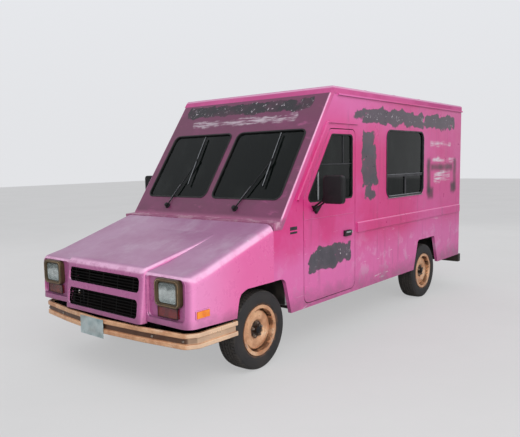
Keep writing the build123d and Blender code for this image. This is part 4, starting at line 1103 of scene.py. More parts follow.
def buildLampLens(side, cx, cz):
    wide, tall = lampShape["size"]
    front = at(lampShape["station"])
    across, up = lampShape["lensCells"]
    power = lampShape["cornerPower"]
    bm = bmesh.new()
    skins = []
    for back in (0.0, lampShape["lensThick"]):
        grid = []
        for j in range(up + 1):
            v = -1 + 2 * j / up
            row = []
            for i in range(across + 1):
                u = -1 + 2 * i / across
                # a rounded rectangle from a square grid
                corner = (abs(u) ** power + abs(v) ** power) ** (1 / power) if (u or v) else 1.0
                pull = max(abs(u), abs(v)) / corner if corner else 1.0
                x = u * pull * (wide - lampShape["lensPlay"]) / 2
                z = v * pull * (tall - lampShape["lensPlay"]) / 2
                lift = lampShape["crown"] * (1 - u * u) * (1 - v * v)
                turn = 2 * math.pi * x / lampShape["flutePitch"]
                flute = lampShape["fluteDepth"] * math.cos(turn) if back else 0.0
                row.append(bm.verts.new((cx + x, front - lift + back - flute + 0.0008, cz + z)))
            grid.append(row)
        skins.append(grid)
    for grid, inner in zip(skins, (False, True)):
        for j in range(up):
            for i in range(across):
                quad = (grid[j][i], grid[j][i + 1], grid[j + 1][i + 1], grid[j + 1][i])
                bm.faces.new(quad[::-1] if inner else quad)
    border = [(0, i) for i in range(across)] + [(j, across) for j in range(up)]
    border += [(up, i) for i in range(across, 0, -1)] + [(j, 0) for j in range(up, 0, -1)]
    for (j0, i0), (j1, i1) in zip(border, border[1:] + border[:1]):
        bm.faces.new((skins[0][j1][i1], skins[0][j0][i0], skins[1][j0][i0], skins[1][j1][i1]))
    # two bars moulded across the lens
    for level in lampShape["bars"]:
        line = [(cx + x, front - lift, cz + level)
                for x, lift in ((-wide * 0.44, -0.0002), (0, 0.0032), (wide * 0.44, -0.0002))]
        addTube(bm, line, 0.0012, 6)
    finishPiece(bm, "lampLens_" + side, "lens", "clip", 50.0, ("headlights",))


lampTrim = {
    "bead": (0.246, 0.190),
    "screws": (0.1105, 0.083),
    "markerAt": (-709, 0.628),
    # X, size and corner radius round the marker lamp's frame
    "marker": ((0.9695, (0.150, 0.070), 0.008), (0.9755, (0.147, 0.067), 0.008),
               (0.9755, (0.133, 0.053), 0.005), (0.9695, (0.1315, 0.0515), 0.005)),
    "turnAt": (0.742, 0.630),
    "turnSize": (0.218, 0.082),
}


def buildLampTrim(side, flip, cx, cz):
    # the bead round the bezel's opening, paler than the bezel as a painted highlight, its screws, and the
    # frames of the small lamps
    bm = bmesh.new()
    addTube(bm, frontLoop(cx, -865.5, cz, lampTrim["bead"], 0.034, 8), 0.0030, 8, closed=True, up=(0, 1, 0))
    finishPiece(bm, "bezelBead_" + side, "bezelBeadHighlight", "clip", 60.0)
    bm = bmesh.new()
    u, v = lampTrim["screws"]
    head = [(0.0052, 0), (0.0052, 0.0016), (0.0036, 0.0028), (0.0012, 0.0022), (0, 0.0008)]
    for dx, dz in ((-u, -v), (-u, v), (u, -v), (u, v)):
        addTurned(bm, (cx + dx, at(-864.5), cz + dz), (0, -1, 0), head, 14)
    finishPiece(bm, "bezelScrews_" + side, "nut", "clip", 30.0)
    bm = bmesh.new()
    addFrame(bm, [sideLoop(flip * x, *lampTrim["markerAt"], size, radius)
                  for x, size, radius in lampTrim["marker"]], closed=True)
    finishPiece(bm, "markerFrame_" + side, "nose", "clip", 40.0)
    bm = bmesh.new()
    x, z = lampTrim["turnAt"]
    turns = ((0.0, -843.5), (0.0, -846.5), (-0.008, -847.5), (-0.010, -843.5))
    addRim(bm, (flip * x, z), lampTrim["turnSize"], 0.006, turns)
    finishPiece(bm, "turnLampRim_" + side, "plastic", "clip", 40.0)


for side, flip in bothSides:
    middle = (flip * lampShape["middle"][0], lampShape["middle"][1])
    buildLampBowl(side, *middle)
    buildLampLens(side, *middle)
    buildLampTrim(side, flip, *middle)
print("stage: head lamps and small lamp trim built")

# Woven wire in the upper opening, and behind the lower one cooler fins, struts and baffles
grilleDetail = {
    "half": 0.440,
    "low": 0.720,
    "tall": 0.148,
    "wirePitch": 0.0135,
    "wireRadius": 0.0008,
    "finPitch": 0.010,
    "finsFrom": 0.465,
    "finsTall": 0.36,
    "coreMiddle": 0.642,
}


def buildGrilleDetail():
    detail = grilleDetail
    half, low, tall, pitch = (detail[key] for key in ("half", "low", "tall", "wirePitch"))
    bm = bmesh.new()
    back = at(-842.6)
    for k in range(int(2 * half / pitch) + 1):
        x = -half + k * pitch
        addTube(bm, [(x, back, low), (x, back, low + tall)], detail["wireRadius"], 4)
    for k in range(int(tall / pitch) + 1):
        z = low + k * pitch
        addTube(bm, [(-half, back + 0.0012, z), (half, back + 0.0012, z)], detail["wireRadius"], 4)
    finishPiece(bm, "grilleScreen", "mesh", "clip", 0)
    bm = bmesh.new()
    face = at(-797.0)
    for k in range(int(detail["finsTall"] / detail["finPitch"])):
        z = detail["finsFrom"] + k * detail["finPitch"]
        addBlock(bm, (0, face - 0.0012, z), (0.98, 0.004, 0.0024), 0)
    for x in (-0.500, 0.500):
        addBlock(bm, (x, face - 0.004, detail["coreMiddle"]), (0.020, 0.010, 0.400))
    finishPiece(bm, "coolerFins", "coreAndShade", smooth=0)
    bm = bmesh.new()
    for x, lean in ((-0.430, 0.05), (-0.350, -0.02)):
        line = [(x, -806, 0.446), (x + lean * 0.4, -812, 0.56), (x + lean, -806, 0.700)]
        addHose(bm, line, 0.007, 8, 0.45)
        addBolt(bm, (x, at(-812), 0.462), (0, -1, 0))
    finishPiece(bm, "coolerStruts", "darkAlloy")
    bm = bmesh.new()
    for flip in (1, -1):
        addBlock(bm, (flip * 0.546, at(-775), 0.640), (0.072, 0.003, 0.400), 0.001)
        addBlock(bm, (flip * 0.511, at(-775), 0.640), (0.004, 0.024, 0.400), 0.001)
    finishPiece(bm, "coolerBaffles", "rubber")


buildGrilleDetail()

# Bumper studs, the plate's rim with its bolts, and the valance behind the bumper
bumperDetail = {
    "studs": (-0.880, -0.589, 0.589, 0.880),
    "studRadius": 0.0085,
    "height": 0.432,
    "wingStud": (0.966, -380),
    "plateAt": (-0.075, 0.412),
    "plateSize": (0.304, 0.150),
    "plateBolts": (0.088, 0.060),
    # the valance's left half as (x, station), its underside and its top
    "valance": [(0.0, -866), (0.480, -860), (0.880, -818), (0.925, -745), (0.930, -470)],
    "valanceHeights": (0.4655, 0.4690),
    "valanceBolts": (-0.62, -0.2, 0.2, 0.62),
}


def buildBumperDetail():
    detail = bumperDetail
    bm = bmesh.new()
    bumper = cadNodes["front_bumper"]
    radius = detail["studRadius"]
    head = [(radius * 1.3, 0), (radius * 1.25, 0.004), (radius, 0.006), (radius * 0.7, 0.010), (0, 0.0115)]
    for x in detail["studs"]:
        start = Vector((x, at(-1100), detail["height"]))
        spot, normal = bumper.ray_cast(start, Vector((0, 1, 0)))[1:3]
        addTurned(bm, spot - normal * 0.001, normal, head, 16)
    head = [(0.009, 0), (0.0085, 0.003), (0.005, 0.006), (0, 0.007)]
    x, station = detail["wingStud"]
    for flip in (1, -1):
        start = Vector((flip * x, at(station), 0.60))
        spot, normal = bumper.ray_cast(start, Vector((0, 0, -1)))[1:3]
        addTurned(bm, spot - normal * 0.0005, normal, head, 16)
    finishPiece(bm, "bumperStuds", "nut", smooth=40.0)
    bm = bmesh.new()
    x, z = detail["plateAt"]
    u, v = detail["plateBolts"]
    turns = ((0.0, -942.5), (0.0, -946.5), (-0.006, -947.5), (-0.012, -945.4), (-0.012, -942.5))
    addRim(bm, (x, z), detail["plateSize"], 0.010, turns)
    for dx, dz in ((-u, v), (-u, -v), (u, v), (u, -v)):
        addBolt(bm, (x + dx, at(-944.9), z + dz), (0, -1, 0), 0.009, 0.0035)
    finishPiece(bm, "plateRim", "plate", smooth=40.0)
    # a near-black sheet that closes the space behind the bumper, standing in for the shade there
    bm = bmesh.new()
    half = detail["valance"]
    shape = half + [(-x, s) for x, s in reversed(half[1:])]
    low, high = ([bm.verts.new((x, at(s), z)) for x, s in shape] for z in detail["valanceHeights"])
    bm.faces.new(low)
    bm.faces.new(high[::-1])
    for k in range(len(shape)):
        n = (k + 1) % len(shape)
        bm.faces.new((low[k], low[n], high[n], high[k]))
    for x in detail["valanceBolts"]:
        addBolt(bm, (x, at(-840), 0.4686), (0, 0, 1), 0.012, 0.005)
    finishPiece(bm, "noseValance", "gapAndShade", smooth=30.0)


buildBumperDetail()
print("stage: grille and bumper details built")

# Bars of the cab door windows, lock, hinge covers, inner fittings and mirror glass
doorDetail = {
    "barX": 0.9500,
    "barDeep": 0.016,
    "postWide": 0.022,
    "barThin": 0.012,
    "lockAt": (1450, 1.012),
    "hinges": (0.560, 0.990),
    "hingeStation": 634,
    "beadHeight": 1.200,
    "winderAt": (880, 1.060),
    "mirrorAt": (1.198, 764.0, 1.469),
    "mirrorSize": (0.196, 0.248),
    # (station, height, radius) of each corner of the door's outline
    "outline": [(605.0, 440.0, 75.0), (605.0, 1384.5, 30.0), (1051.6, 2018.0, 55.0),
                (1510.0, 2018.0, 55.0), (1510.0, 440.0, 75.0)],
    "sealGap": 4.0,
}


def buildDoorDetail(side, flip):
    detail = doorDetail
    body = "cab_door_" + side
    x = flip * detail["barX"]
    deep = detail["barDeep"]
    bm = bmesh.new()
    addBlock(bm, (x, at(856), 1.518), (deep, detail["postWide"], 0.344))
    finishPiece(bm, "windowPost_" + side, "alloy", body)
    bm = bmesh.new()
    addBlock(bm, (x, at(1182), 1.690), (deep, 0.570, 0.010), 0.0015)
    addBlock(bm, (x, at(1299), 1.832), (deep, detail["barThin"], 0.276))
    finishPiece(bm, "windowBars_" + side, "darkAlloy", body)
    bm = bmesh.new()
    station, z = detail["lockAt"]
    barrel = [(0.014, 0), (0.014, 0.003), (0.010, 0.005), (0.0035, 0.0045), (0, 0.003)]
    addTurned(bm, (flip * 0.9645, at(station), z), (flip, 0, 0), barrel, 20)
    addBlock(bm, (flip * 0.9885, at(1351), 1.020), (0.004, 0.082, 0.016), 0.0015)
    finishPiece(bm, "doorLock_" + side, "chrome", body)
    bm = bmesh.new()
    y = at(detail["hingeStation"])
    for z in detail["hinges"]:
        addBlock(bm, (flip * 0.9665, y, z), (0.004, 0.036, 0.070), 0.0015)
        for dz in (-0.022, 0.022):
            addRivet(bm, (flip * 0.9684, y, z + dz), (flip, 0, 0), 0.005)
    line = [(flip * 0.9655, at(station), detail["beadHeight"]) for station in (622, 1478)]
    addTube(bm, line, 0.0030, 6, 0.5)
    finishPiece(bm, "doorFittings_" + side, "sideLeft" if flip > 0 else "sideRight", body)
    # a black rubber strip on the shut edge, an armrest and a window winder inside
    bm = bmesh.new()
    addTube(bm, [(flip * 0.9290, at(1484), z) for z in (0.50, 1.96)], 0.005, 8)
    addBlock(bm, (flip * 0.905, at(1150), 1.000), (0.050, 0.300, 0.045), 0.014, steps=4)
    station, z = detail["winderAt"]
    boss = [(0.018, 0), (0.018, 0.012), (0.012, 0.018), (0, 0.019)]
    addTurned(bm, (flip * 0.931, at(station), z), (-flip, 0, 0), boss, 16)
    line = [(flip * 0.916, station, z), (flip * 0.908, 916, 1.040), (flip * 0.906, 958, 1.022)]
    addHose(bm, line, 0.0065)
    knob = [(0.008, 0), (0.013, 0.010), (0.013, 0.024), (0.008, 0.030), (0, 0.031)]
    addTurned(bm, (flip * 0.908, at(960), 1.021), (-flip, 0, 0), knob, 14)
    finishPiece(bm, "doorInnerFittings_" + side, "plastic", body, 40.0)
    bm = bmesh.new()
    x, station, z = detail["mirrorAt"]
    wide, tall = detail["mirrorSize"]
    addStack(bm, [frontLoop(flip * x, station + back, z, (wide + grow, tall + grow), 0.026, 6)
                  for grow, back in ((-0.022, 0.0), (-0.022, 2.5), (-0.030, 3.1))])
    finishPiece(bm, "mirrorGlass_" + side, "mirror", body)
    bm = bmesh.new()
    for station, z in ((752, 1.304), (842, 1.302), (790, 1.262)):
        addBolt(bm, (flip * 0.9868, at(station), z), (flip, 0, 0), 0.010, 0.005)
    sleeve = [(0.012, -0.022), (0.0135, -0.018), (0.0135, 0.024), (0.012, 0.028)]
    for reach in (1.085, 1.115):
        addTurned(bm, (flip * reach, at(750), 1.377 + (reach - 1.1) * 0.2), (0, 0, 1), sleeve, 16)
    finishPiece(bm, "mirrorFittings_" + side, "plastic", body)


def roundedOutline(points, grow, steps=7):
    # an outline with round corners, grown by a gap; points are (station, height, radius)
    line = []
    count = len(points)
    for k, (s, z, radius) in enumerate(points):
        here = Vector((s, z))
        before = (Vector(points[k - 1][:2]) - here).normalized()
        after = (Vector(points[(k + 1) % count][:2]) - here).normalized()
        half = before.angle(after) / 2
        bisector = (before + after).normalized()
        corner = here - bisector * (grow / math.sin(half))
        reach = radius + grow
        centre = corner + bisector * (reach / math.sin(half))
        start = (corner + before * (reach / math.tan(half)) - centre).normalized()
        end = (corner + after * (reach / math.tan(half)) - centre).normalized()
        for j in range(steps + 1):
            way = start.lerp(end, j / steps).normalized()
            line.append(centre + way * reach)
    return line


def buildShutSeals():
    # black seals that close the shut lines of the cab doors and of the tilting nose
    outline = roundedOutline(doorDetail["outline"], doorDetail["sealGap"])
    for side, flip in bothSides:
        bm = bmesh.new()
        line = [(flip * 0.9560, at(p.x), p.y / 1000) for p in outline]
        addTube(bm, line, 0.0031, 6, closed=True, up=(1, 0, 0))
        finishPiece(bm, "doorSeal_" + side, "gapAndShade", "cab_door_" + side, 0)
    bm = bmesh.new()
    half = [(0.955, 0.712), (0.955, 1.170), (0.920, 1.196)]
    line = [(x, at(158), z) for x, z in half + [(-x, z) for x, z in reversed(half)]]
    addTube(bm, line, 0.0024, 6, up=(0, 1, 0))
    finishPiece(bm, "noseSeal", "gapAndShade", smooth=0)


for side, flip in bothSides:
    buildDoorDetail(side, flip)
buildShutSeals()

badge = {"station": 449, "long": 0.104, "heights": ((1.142, 0.030), (1.104, 0.018)), "rivets": 44}


def buildSideBadge():
    # two small blank plates ahead of the cab door, where the real van has lettering
    bm = bmesh.new()
    for z, tall in badge["heights"]:
        addBlock(bm, (0.9658, at(badge["station"]), z), (0.003, badge["long"], tall), 0.001)
        for away in (-badge["rivets"], badge["rivets"]):
            addRivet(bm, (0.9671, at(badge["station"] + away), z), (1, 0, 0), 0.0026)
    finishPiece(bm, "sideBadgeBlank", "darkAlloy")


buildSideBadge()

# Side windows: bright sill, slider tracks and catches
sideWindow = {
    "stations": (2190.0, 3165.0),
    "low": 1.302,
    "bar": 1.545,
    "sliders": (0.27, 0.73),  # shares of the window's length
    "sliderHalf": 0.212,
}


def buildSideWindowTrim(side, flip):
    front, rear = sideWindow["stations"]
    low, bar = sideWindow["low"], sideWindow["bar"]
    y = at((front + rear) / 2)
    length = (rear - front) / 1000
    bm = bmesh.new()
    addBlock(bm, (flip * 0.9725, y, low - 0.002), (0.009, length - 0.06, 0.007))
    addBlock(bm, (flip * 0.9595, y, low + 0.020), (0.010, length - 0.07, 0.010))
    addBlock(bm, (flip * 0.9575, y, bar + 0.011), (0.008, length - 0.05, 0.004), 0.001)
    finishPiece(bm, "windowSill_" + side, "alloy")
    bm = bmesh.new()
    for share in sideWindow["sliders"]:
        y = at(front + share * (rear - front))
        addBlock(bm, (flip * 0.9355, y, 1.418), (0.010, 0.420, 0.012))
        addBlock(bm, (flip * 0.9330, y, 1.330), (0.010, 0.030, 0.024), 0.003)
        for edge in (-sideWindow["sliderHalf"], sideWindow["sliderHalf"]):
            addBlock(bm, (flip * 0.9360, y + edge, 1.430), (0.008, 0.012, 0.205))
    finishPiece(bm, "windowSliders_" + side, "darkAlloy")


for side, flip in bothSides:
    buildSideWindowTrim(side, flip)
print("stage: door and window details built")

# The windshield's plane carries the wipers
screenLine = {"start": (264.0, 1.220), "run": 0.57617, "rise": 0.81733}
screenOut = Vector((0, -screenLine["rise"], screenLine["run"]))
# pivot, joint of arm and blade, and the blade's two ends, in millimetres on that plane
wiperLines = [
    ((406.0, 101.0), (612.0, 622.0), (630.0, 338.0), (596.0, 934.0)),
    ((-496.0, 101.0), (-355.0, 640.0), (-331.0, 349.0), (-386.0, 933.0)),
]
wiperShape = {"coilTurns": 70, "coilRadius": 0.0032, "coilSpan": (60, 250), "claws": (0.18, 0.5, 0.82)}


def onScreen(x, v, lift=0.0):
    station, z = screenLine["start"]
    return Vector((x / 1000, at(station + screenLine["run"] * v),
                   z + screenLine["rise"] * v / 1000)) + screenOut * lift


def between(a, b, share):
    return a[0] + (b[0] - a[0]) * share, a[1] + (b[1] - a[1]) * share


def buildWiperDetail():
    # spines and springs in bright metal, pivots and claws in black
    bm = bmesh.new()
    black = bmesh.new()
    pivotForm = [(0.029, 0), (0.028, 0.006), (0.021, 0.012), (0.019, 0.022), (0.021, 0.024),
                 (0.021, 0.033), (0.012, 0.037), (0, 0.038)]
    radius = wiperShape["coilRadius"]
    steps = wiperShape["coilTurns"] * 6
    for pivot, joint, tail, tip in wiperLines:
        addTurned(black, onScreen(*pivot, 0.0004), screenOut, pivotForm, 24)
        spine = []
        for k in range(13):
            lift = 0.0192 + 0.0020 * math.sin(math.pi * k / 12)
            x, v = (tail[i] + (tip[i] - tail[i]) * k / 12 for i in (0, 1))
            spine.append(onScreen(x, v, lift))
        addTube(bm, spine, 0.0028, 8, 0.5, up=tuple(screenOut))
        along = Vector((joint[0] - pivot[0], 0, joint[1] - pivot[1])).normalized()
        start, end = ((pivot[0] + along.x * far, pivot[1] + along.z * far)
                      for far in wiperShape["coilSpan"])
        coil = []
        for k in range(steps + 1):
            angle = 2 * math.pi * k / 6
            centre = onScreen(*between(start, end, k / steps), 0.0205)
            across = Vector((along.z, 0, 0)) + (onScreen(0, 1) - onScreen(0, 0)).normalized() * -along.x
            coil.append(centre + across * radius * math.cos(angle) + screenOut * radius * math.sin(angle))
        addTube(bm, coil, 0.0008, 4)
        for share in wiperShape["claws"]:
            spot = onScreen(*between(tail, tip, share), 0.0175)
            addBlock(black, spot, (0.012, 0.020, 0.006), 0.0015, turnTo(screenOut))
        addBlock(black, onScreen(*joint, 0.0195), (0.020, 0.034, 0.010), 0.003, turnTo(screenOut))
    finishPiece(bm, "wiperSpines", "alloy")
    finishPiece(black, "wiperPivots", "plastic")


buildWiperDetail()

# Rear doors: handles, latch rods, strap hinges and lamp trims
rearDetail = {
    "face": 4380.0,
    "hinges": (0.900, 1.480, 2.060),
    "rodX": 0.075,
    "rodHeights": (0.500, 2.190),
    "stays": (0.560, 1.150, 1.720, 2.140),
    "sealAt": (0.415, 1.345),
    "sealSize": (0.812, 1.726),
    "lampAt": (0.878, 0.720),
    "lampSize": (0.076, 0.260),
}


def buildRearDetail(side, flip):
    detail = rearDetail
    body = "rear_leaf_" + side
    face = at(detail["face"])
    bm = bmesh.new()
    barrel = [(0.006, -0.030), (0.0075, -0.028), (0.0075, 0.028), (0.006, 0.030)]
    for z in detail["hinges"]:
        addBlock(bm, (flip * 0.752, face + 0.003, z), (0.110, 0.005, 0.044))
        addTurned(bm, (flip * 0.812, face + 0.006, z), (0, 0, 1), barrel, 16)
        for x in (0.715, 0.745, 0.775):
            addRivet(bm, (flip * x, face + 0.0054, z), (0, 1, 0), 0.006)
    finishPiece(bm, "rearHinges_" + side, "chassis", body)
    bm = bmesh.new()
    rod = flip * detail["rodX"]
    addTube(bm, [(rod, face + 0.014, z) for z in detail["rodHeights"]], 0.008, 12)
    for z in detail["stays"]:
        addBlock(bm, (rod, face + 0.0045, z), (0.052, 0.009, 0.030))
        for x in (-0.018, 0.018):
            addBolt(bm, (rod + x, face + 0.0088, z), (0, 1, 0), 0.009, 0.004)
    addBlock(bm, (rod, face + 0.010, 1.060), (0.050, 0.020, 0.110), 0.004)
    line = [(rod, 4402, 1.060), (rod + flip * 0.035, 4420, 1.058), (rod + flip * 0.120, 4422, 1.050)]
    addHose(bm, line, 0.009, 10, 0.6)
    finishPiece(bm, "rearLatch_" + side, "steel", body)
    bm = bmesh.new()
    x, z = detail["sealAt"]
    seal = frontLoop(flip * x, detail["face"] - 6.0, z, detail["sealSize"], 0.03)
    addTube(bm, seal, 0.004, 6, closed=True, up=(0, 1, 0))
    finishPiece(bm, "rearSeal_" + side, "rubber", body)
    bm = bmesh.new()
    x, z = detail["lampAt"]
    turns = ((-0.006, 4399.6), (-0.006, 4401.6), (-0.014, 4402.4), (-0.016, 4399.8))
    addRim(bm, (flip * x, z), detail["lampSize"], 0.008, turns)
    for level in (0.806, 0.634):
        addBlock(bm, (flip * x, at(4400.6), level), (0.066, 0.003, 0.004), 0.001)
    finishPiece(bm, "tailLampRim_" + side, "plastic", smooth=40.0)


for side, flip in bothSides:
    buildRearDetail(side, flip)

stepDetail = {"strips": 9, "pitch": 7.5, "stayX": 0.62, "boltX": (0.62, 0.52)}


def buildRearStep():
    # tread strips on the step bumper, its stays and their bolts
    bm = bmesh.new()
    for k in range(stepDetail["strips"]):
        addBlock(bm, (0, at(4392 + stepDetail["pitch"] * k), 0.3952), (1.70, 0.003, 0.0026), 0.0008)
    finishPiece(bm, "stepTread", "steel")
    bm = bmesh.new()
    for flip in (1, -1):
        x = flip * stepDetail["stayX"]
        addHose(bm, [(x, 4300, 0.350), (x, 4330, 0.392), (x, 4372, 0.397)], 0.012, 8, 0.5)
        for x in stepDetail["boltX"]:
            addBolt(bm, (flip * x, at(4462.6), 0.342), (0, 1, 0), 0.020, 0.010)
    finishPiece(bm, "stepBolts", "nut")


buildRearStep()
print("stage: wipers and rear details built")

# Roof seams with rivets, rivets along the walls and the ribs inside
roofDetail = {
    "seams": (1750, 2400, 3050, 3700),
    "rivetPitch": 0.115,
    "ribX": 0.9205,
    # (station, middle height, height) of each rib on a wall
    "ribs": ((1660, 1.430, 1.80), (2110, 1.430, 1.80), (3720, 1.430, 1.80), (4250, 1.430, 1.80),
             (3240, 1.600, 1.46), (2660, 0.900, 0.74)),
    "bows": (1660, 2110, 2660, 3240, 3720, 4250),
    "lamps": (2000, 3450),
}


def buildRoofAndRivets():
    detail = roofDetail
    bm = bmesh.new()
    for station in detail["seams"]:
        addBlock(bm, (0, at(station), 2.4212), (1.90, 0.050, 0.004), 0.0015)
        for k in range(16):
            for away in (-14, 14):
                addRivet(bm, (-0.9 + k * 0.12, at(station + away), 2.4230), (0, 0, 1), 0.0045)
    finishPiece(bm, "roofSeams", "roof")
    pitch = detail["rivetPitch"]
    for side, flip in (("Left", 1), ("Right", -1)):
        bm = bmesh.new()
        # rows along the belt, under the rail, up the rear corner and low down
        for k in range(int(2.76 / pitch)):
            spot = (flip * 0.9847, at(1600 + k * pitch * 1000), 1.055 - k * 0.0012)
            addRivet(bm, spot, (flip, 0, 0), 0.0036)
        spots = [(1580 + k * pitch * 1000, 2.315) for k in range(int(2.7 / pitch))]
        spots += [(4352, 0.55 + k * 0.15) for k in range(12)]
        spots += [(1580 + k * 160, 0.420) for k in range(6)]
        for station, z in spots:
            addRivet(bm, (flip * 0.9648, at(station), z), (flip, 0, 0), 0.0032)
        finishPiece(bm, "wallRivets" + side, "side" + side)
    bm = bmesh.new()
    for flip in (1, -1):
        for station, z, tall in detail["ribs"]:
            addBlock(bm, (flip * detail["ribX"], at(station), z), (0.022, 0.044, tall), 0.004)
    for station in detail["bows"]:
        addBlock(bm, (0, at(station), 2.3435), (1.86, 0.044, 0.020), 0.004)
    finishPiece(bm, "innerRibs", "lining")
    bm = bmesh.new()
    dome = [(0.090, 0), (0.088, 0.010), (0.070, 0.024), (0.030, 0.030), (0, 0.031)]
    for station in detail["lamps"]:
        addTurned(bm, (0, at(station), 2.3515), (0, 0, -1), dome, 32)
    finishPiece(bm, "ceilingLamps", "lens", smooth=40.0)


buildRoofAndRivets()
print("stage: roof, rivets and inner ribs built")

# Dashboard: gauge hood, dials, switches, wheel grip, pedals and levers
dashDetail = {
    "gaugeX": 0.440,
    "top": 1.148,
    # station, rise and growth of each arch of the hood
    "hood": ((470, 0.0, 0.0), (474, 0.055, -0.01), (500, 0.072, -0.02), (545, 0.060, -0.02),
             (553, 0.0, 0.0)),
    "hoodWide": 0.190,
    "dials": ((-0.115, 0.034), (-0.035, 0.043), (0.060, 0.043), (0.135, 0.026)),
    "knobs": 7,
    "wheelAt": (720.0, 1.165),
    "wheelTilt": 35.0,
    "gripRadius": 0.194,
    "gripSeams": 32,
    "stalks": ((-1, 0.16), (1, 0.15)),
    "pedals": ((-0.115, 0.062), (0.0, 0.062), (0.110, 0.048)),
}


def buildGauges():
    x = dashDetail["gaugeX"]
    # (side, share of the width, share of the rise) round the hood's arch
    half = ((1, 0), (1, 0.7), (0.86, 1), (0.4, 1.08))
    arch = [(-1, *p) for p in half] + [(1, *p) for p in reversed(half)]
    rings = []
    for station, rise, grow in dashDetail["hood"]:
        wide = dashDetail["hoodWide"] + grow
        rings.append([(x + s * wide * w, at(station + 4 * w), dashDetail["top"] - 0.002 + rise * h)
                      for s, w, h in arch])
    bm = bmesh.new()
    addStack(bm, rings)
    finishPiece(bm, "gaugeHood", "dash", smooth=50.0)
    bm = bmesh.new()
    slope = Vector((0, 0.66, 0.75)).normalized()
    for dx, radius in dashDetail["dials"]:
        spot = Vector((x, at(556), 1.128)) + Vector((dx, 0, 0))
        rim = [(radius, -0.01), (radius, 0.006), (radius * 0.93, 0.008), (radius * 0.88, 0.005),
               (radius * 0.87, 0.001), (0, 0.001)]
        addTurned(bm, spot, slope, rim, 32)
        needle = spot + slope * 0.003
        tip = needle + Vector((-radius * 0.6, 0.02 * 0.4, 0.0)) + Vector((0, -0.3, 0.3)) * radius
        addTube(bm, [needle, tip], 0.0012, 4)
    for k in range(dashDetail["knobs"]):
        spot = (-0.32 + k * 0.085, at(574), 1.101)
        addTurned(bm, spot, slope, [(0.013, -0.006), (0.013, 0.012), (0.010, 0.020), (0, 0.0205)], 16)
    finishPiece(bm, "dialsAndKnobs", "chrome", smooth=40.0)


def buildDash():
    # a padded grip over the plain wheel ring, a horn button, stalks, pedals and the gear lever
    x = dashDetail["gaugeX"]
    station, height = dashDetail["wheelAt"]
    tilt = math.radians(dashDetail["wheelTilt"])
    out = Vector((0, math.cos(tilt), math.sin(tilt)))
    over = Vector((0, -math.sin(tilt), math.cos(tilt)))
    right = Vector((1, 0, 0))
    hub = Vector((x, at(station), height)) + out * 0.010
    radius, seams = dashDetail["gripRadius"], dashDetail["gripSeams"]

    def onGrip(a):
        return hub + right * radius * math.cos(a) + over * radius * math.sin(a)

    bm = bmesh.new()
    ring = [onGrip(2 * math.pi * k / 64) for k in range(64)]
    addTube(bm, ring, 0.0150, 12, closed=True, up=tuple(out))
    for k in range(seams):
        a = 2 * math.pi * (k + 0.5) / seams
        way = right * -math.sin(a) + over * math.cos(a)
        addTurned(bm, onGrip(a) - way * 0.002, way, [(0.0162, 0), (0.0162, 0.004)], 12)
    button = [(0.052, 0), (0.050, 0.012), (0.036, 0.022), (0, 0.026)]
    addTurned(bm, hub + out * 0.008, out, button, 28)
    finishPiece(bm, "wheelGrip", "plastic", smooth=50.0)
    bm = bmesh.new()
    low = hub - out * 0.09
    for s, reach in dashDetail["stalks"]:
        line = [low + Vector((s * 0.02, 0, 0)), low + Vector((s * 0.08, 0, 0.01)),
                low + Vector((s * reach, 0, 0.035)) + out * 0.02]
        addTube(bm, smoothLine(line), 0.0055, 8)
        end = [(0.006, -0.004), (0.0105, 0.004), (0.0105, 0.026), (0.006, 0.030)]
        addTurned(bm, line[-1], Vector((s, 0, 0.1)), end, 12)
    lean = Matrix.Rotation(math.radians(-32), 3, "X")
    for dx, wide in dashDetail["pedals"]:
        addBlock(bm, (x + dx, at(470), 0.640), (wide, 0.012, 0.074), 0.004, lean)
        addHose(bm, [(x + dx, 462, 0.640), (x + dx, 440, 0.720), (x + dx, 405, 0.890)], 0.009, 8, 0.5)
    addHose(bm, [(0.10, 640, 0.512), (0.10, 650, 0.72), (0.12, 690, 0.90)], 0.008, 10)
    knob = [(0.012, 0), (0.026, 0.014), (0.030, 0.032), (0.022, 0.050), (0, 0.056)]
    addTurned(bm, (0.12, at(690), 0.885), (0.05, 0.1, 1), knob, 20)
    finishPiece(bm, "leversAndPedals", "steel", smooth=40.0)


buildGauges()
buildDash()
print("stage: dashboard dressed")

# Seats: pedestals in mesh code, pads swelled by a short cloth run, then channels and piping
seatShape = {
    "middleX": 0.440,
    "floor": 0.510,
    "cushion": (0.478, 0.478, 0.100),
    "cushionAt": (1150.0, 0.842),
    "back": (0.478, 0.100, 0.600),
    "backFoot": (1390.0, 0.806),
    "backLean": 12.0,
    "settledAt": 0.788,  # underside of the cushion
    "voxel": 0.008,
    "mass": 0.3,
    "stiffness": 12,
    "bending": 0.4,
    "pressure": 4.0,
    "cap": 0.012,
    "frames": 20,
    "crown": 0.012,
    "bolster": 0.020,
    "channelPitch": 0.078,
    "channelDepth": 0.006,
    "seamDepth": 0.005,
    "pipingInset": 0.050,
    "pipingRadius": 0.0036,
}


def padForm(size, name):
    # a slightly smaller rounded block, the start of a pad
    bm = bmesh.new()
    verts = bmesh.ops.create_cube(bm, size=1.0)["verts"]
    bmesh.ops.scale(bm, vec=size, verts=verts)
    bmesh.ops.bevel(bm, geom=list(bm.edges), offset=min(size) * 0.42, segments=4, profile=0.5,
                    affect="EDGES")
    mesh = bpy.data.meshes.new(name)
    bm.to_mesh(mesh)
    bm.free()
    pad = bpy.data.objects.new(name, mesh)
    bpy.context.scene.collection.objects.link(pad)
    return pad


def evaluated(pad):
    # the mesh that the pad's modifiers give, which are then taken off
    graph = bpy.context.evaluated_depsgraph_get()
    mesh = bpy.data.meshes.new_from_object(pad.evaluated_get(graph))
    pad.modifiers.clear()
    return mesh


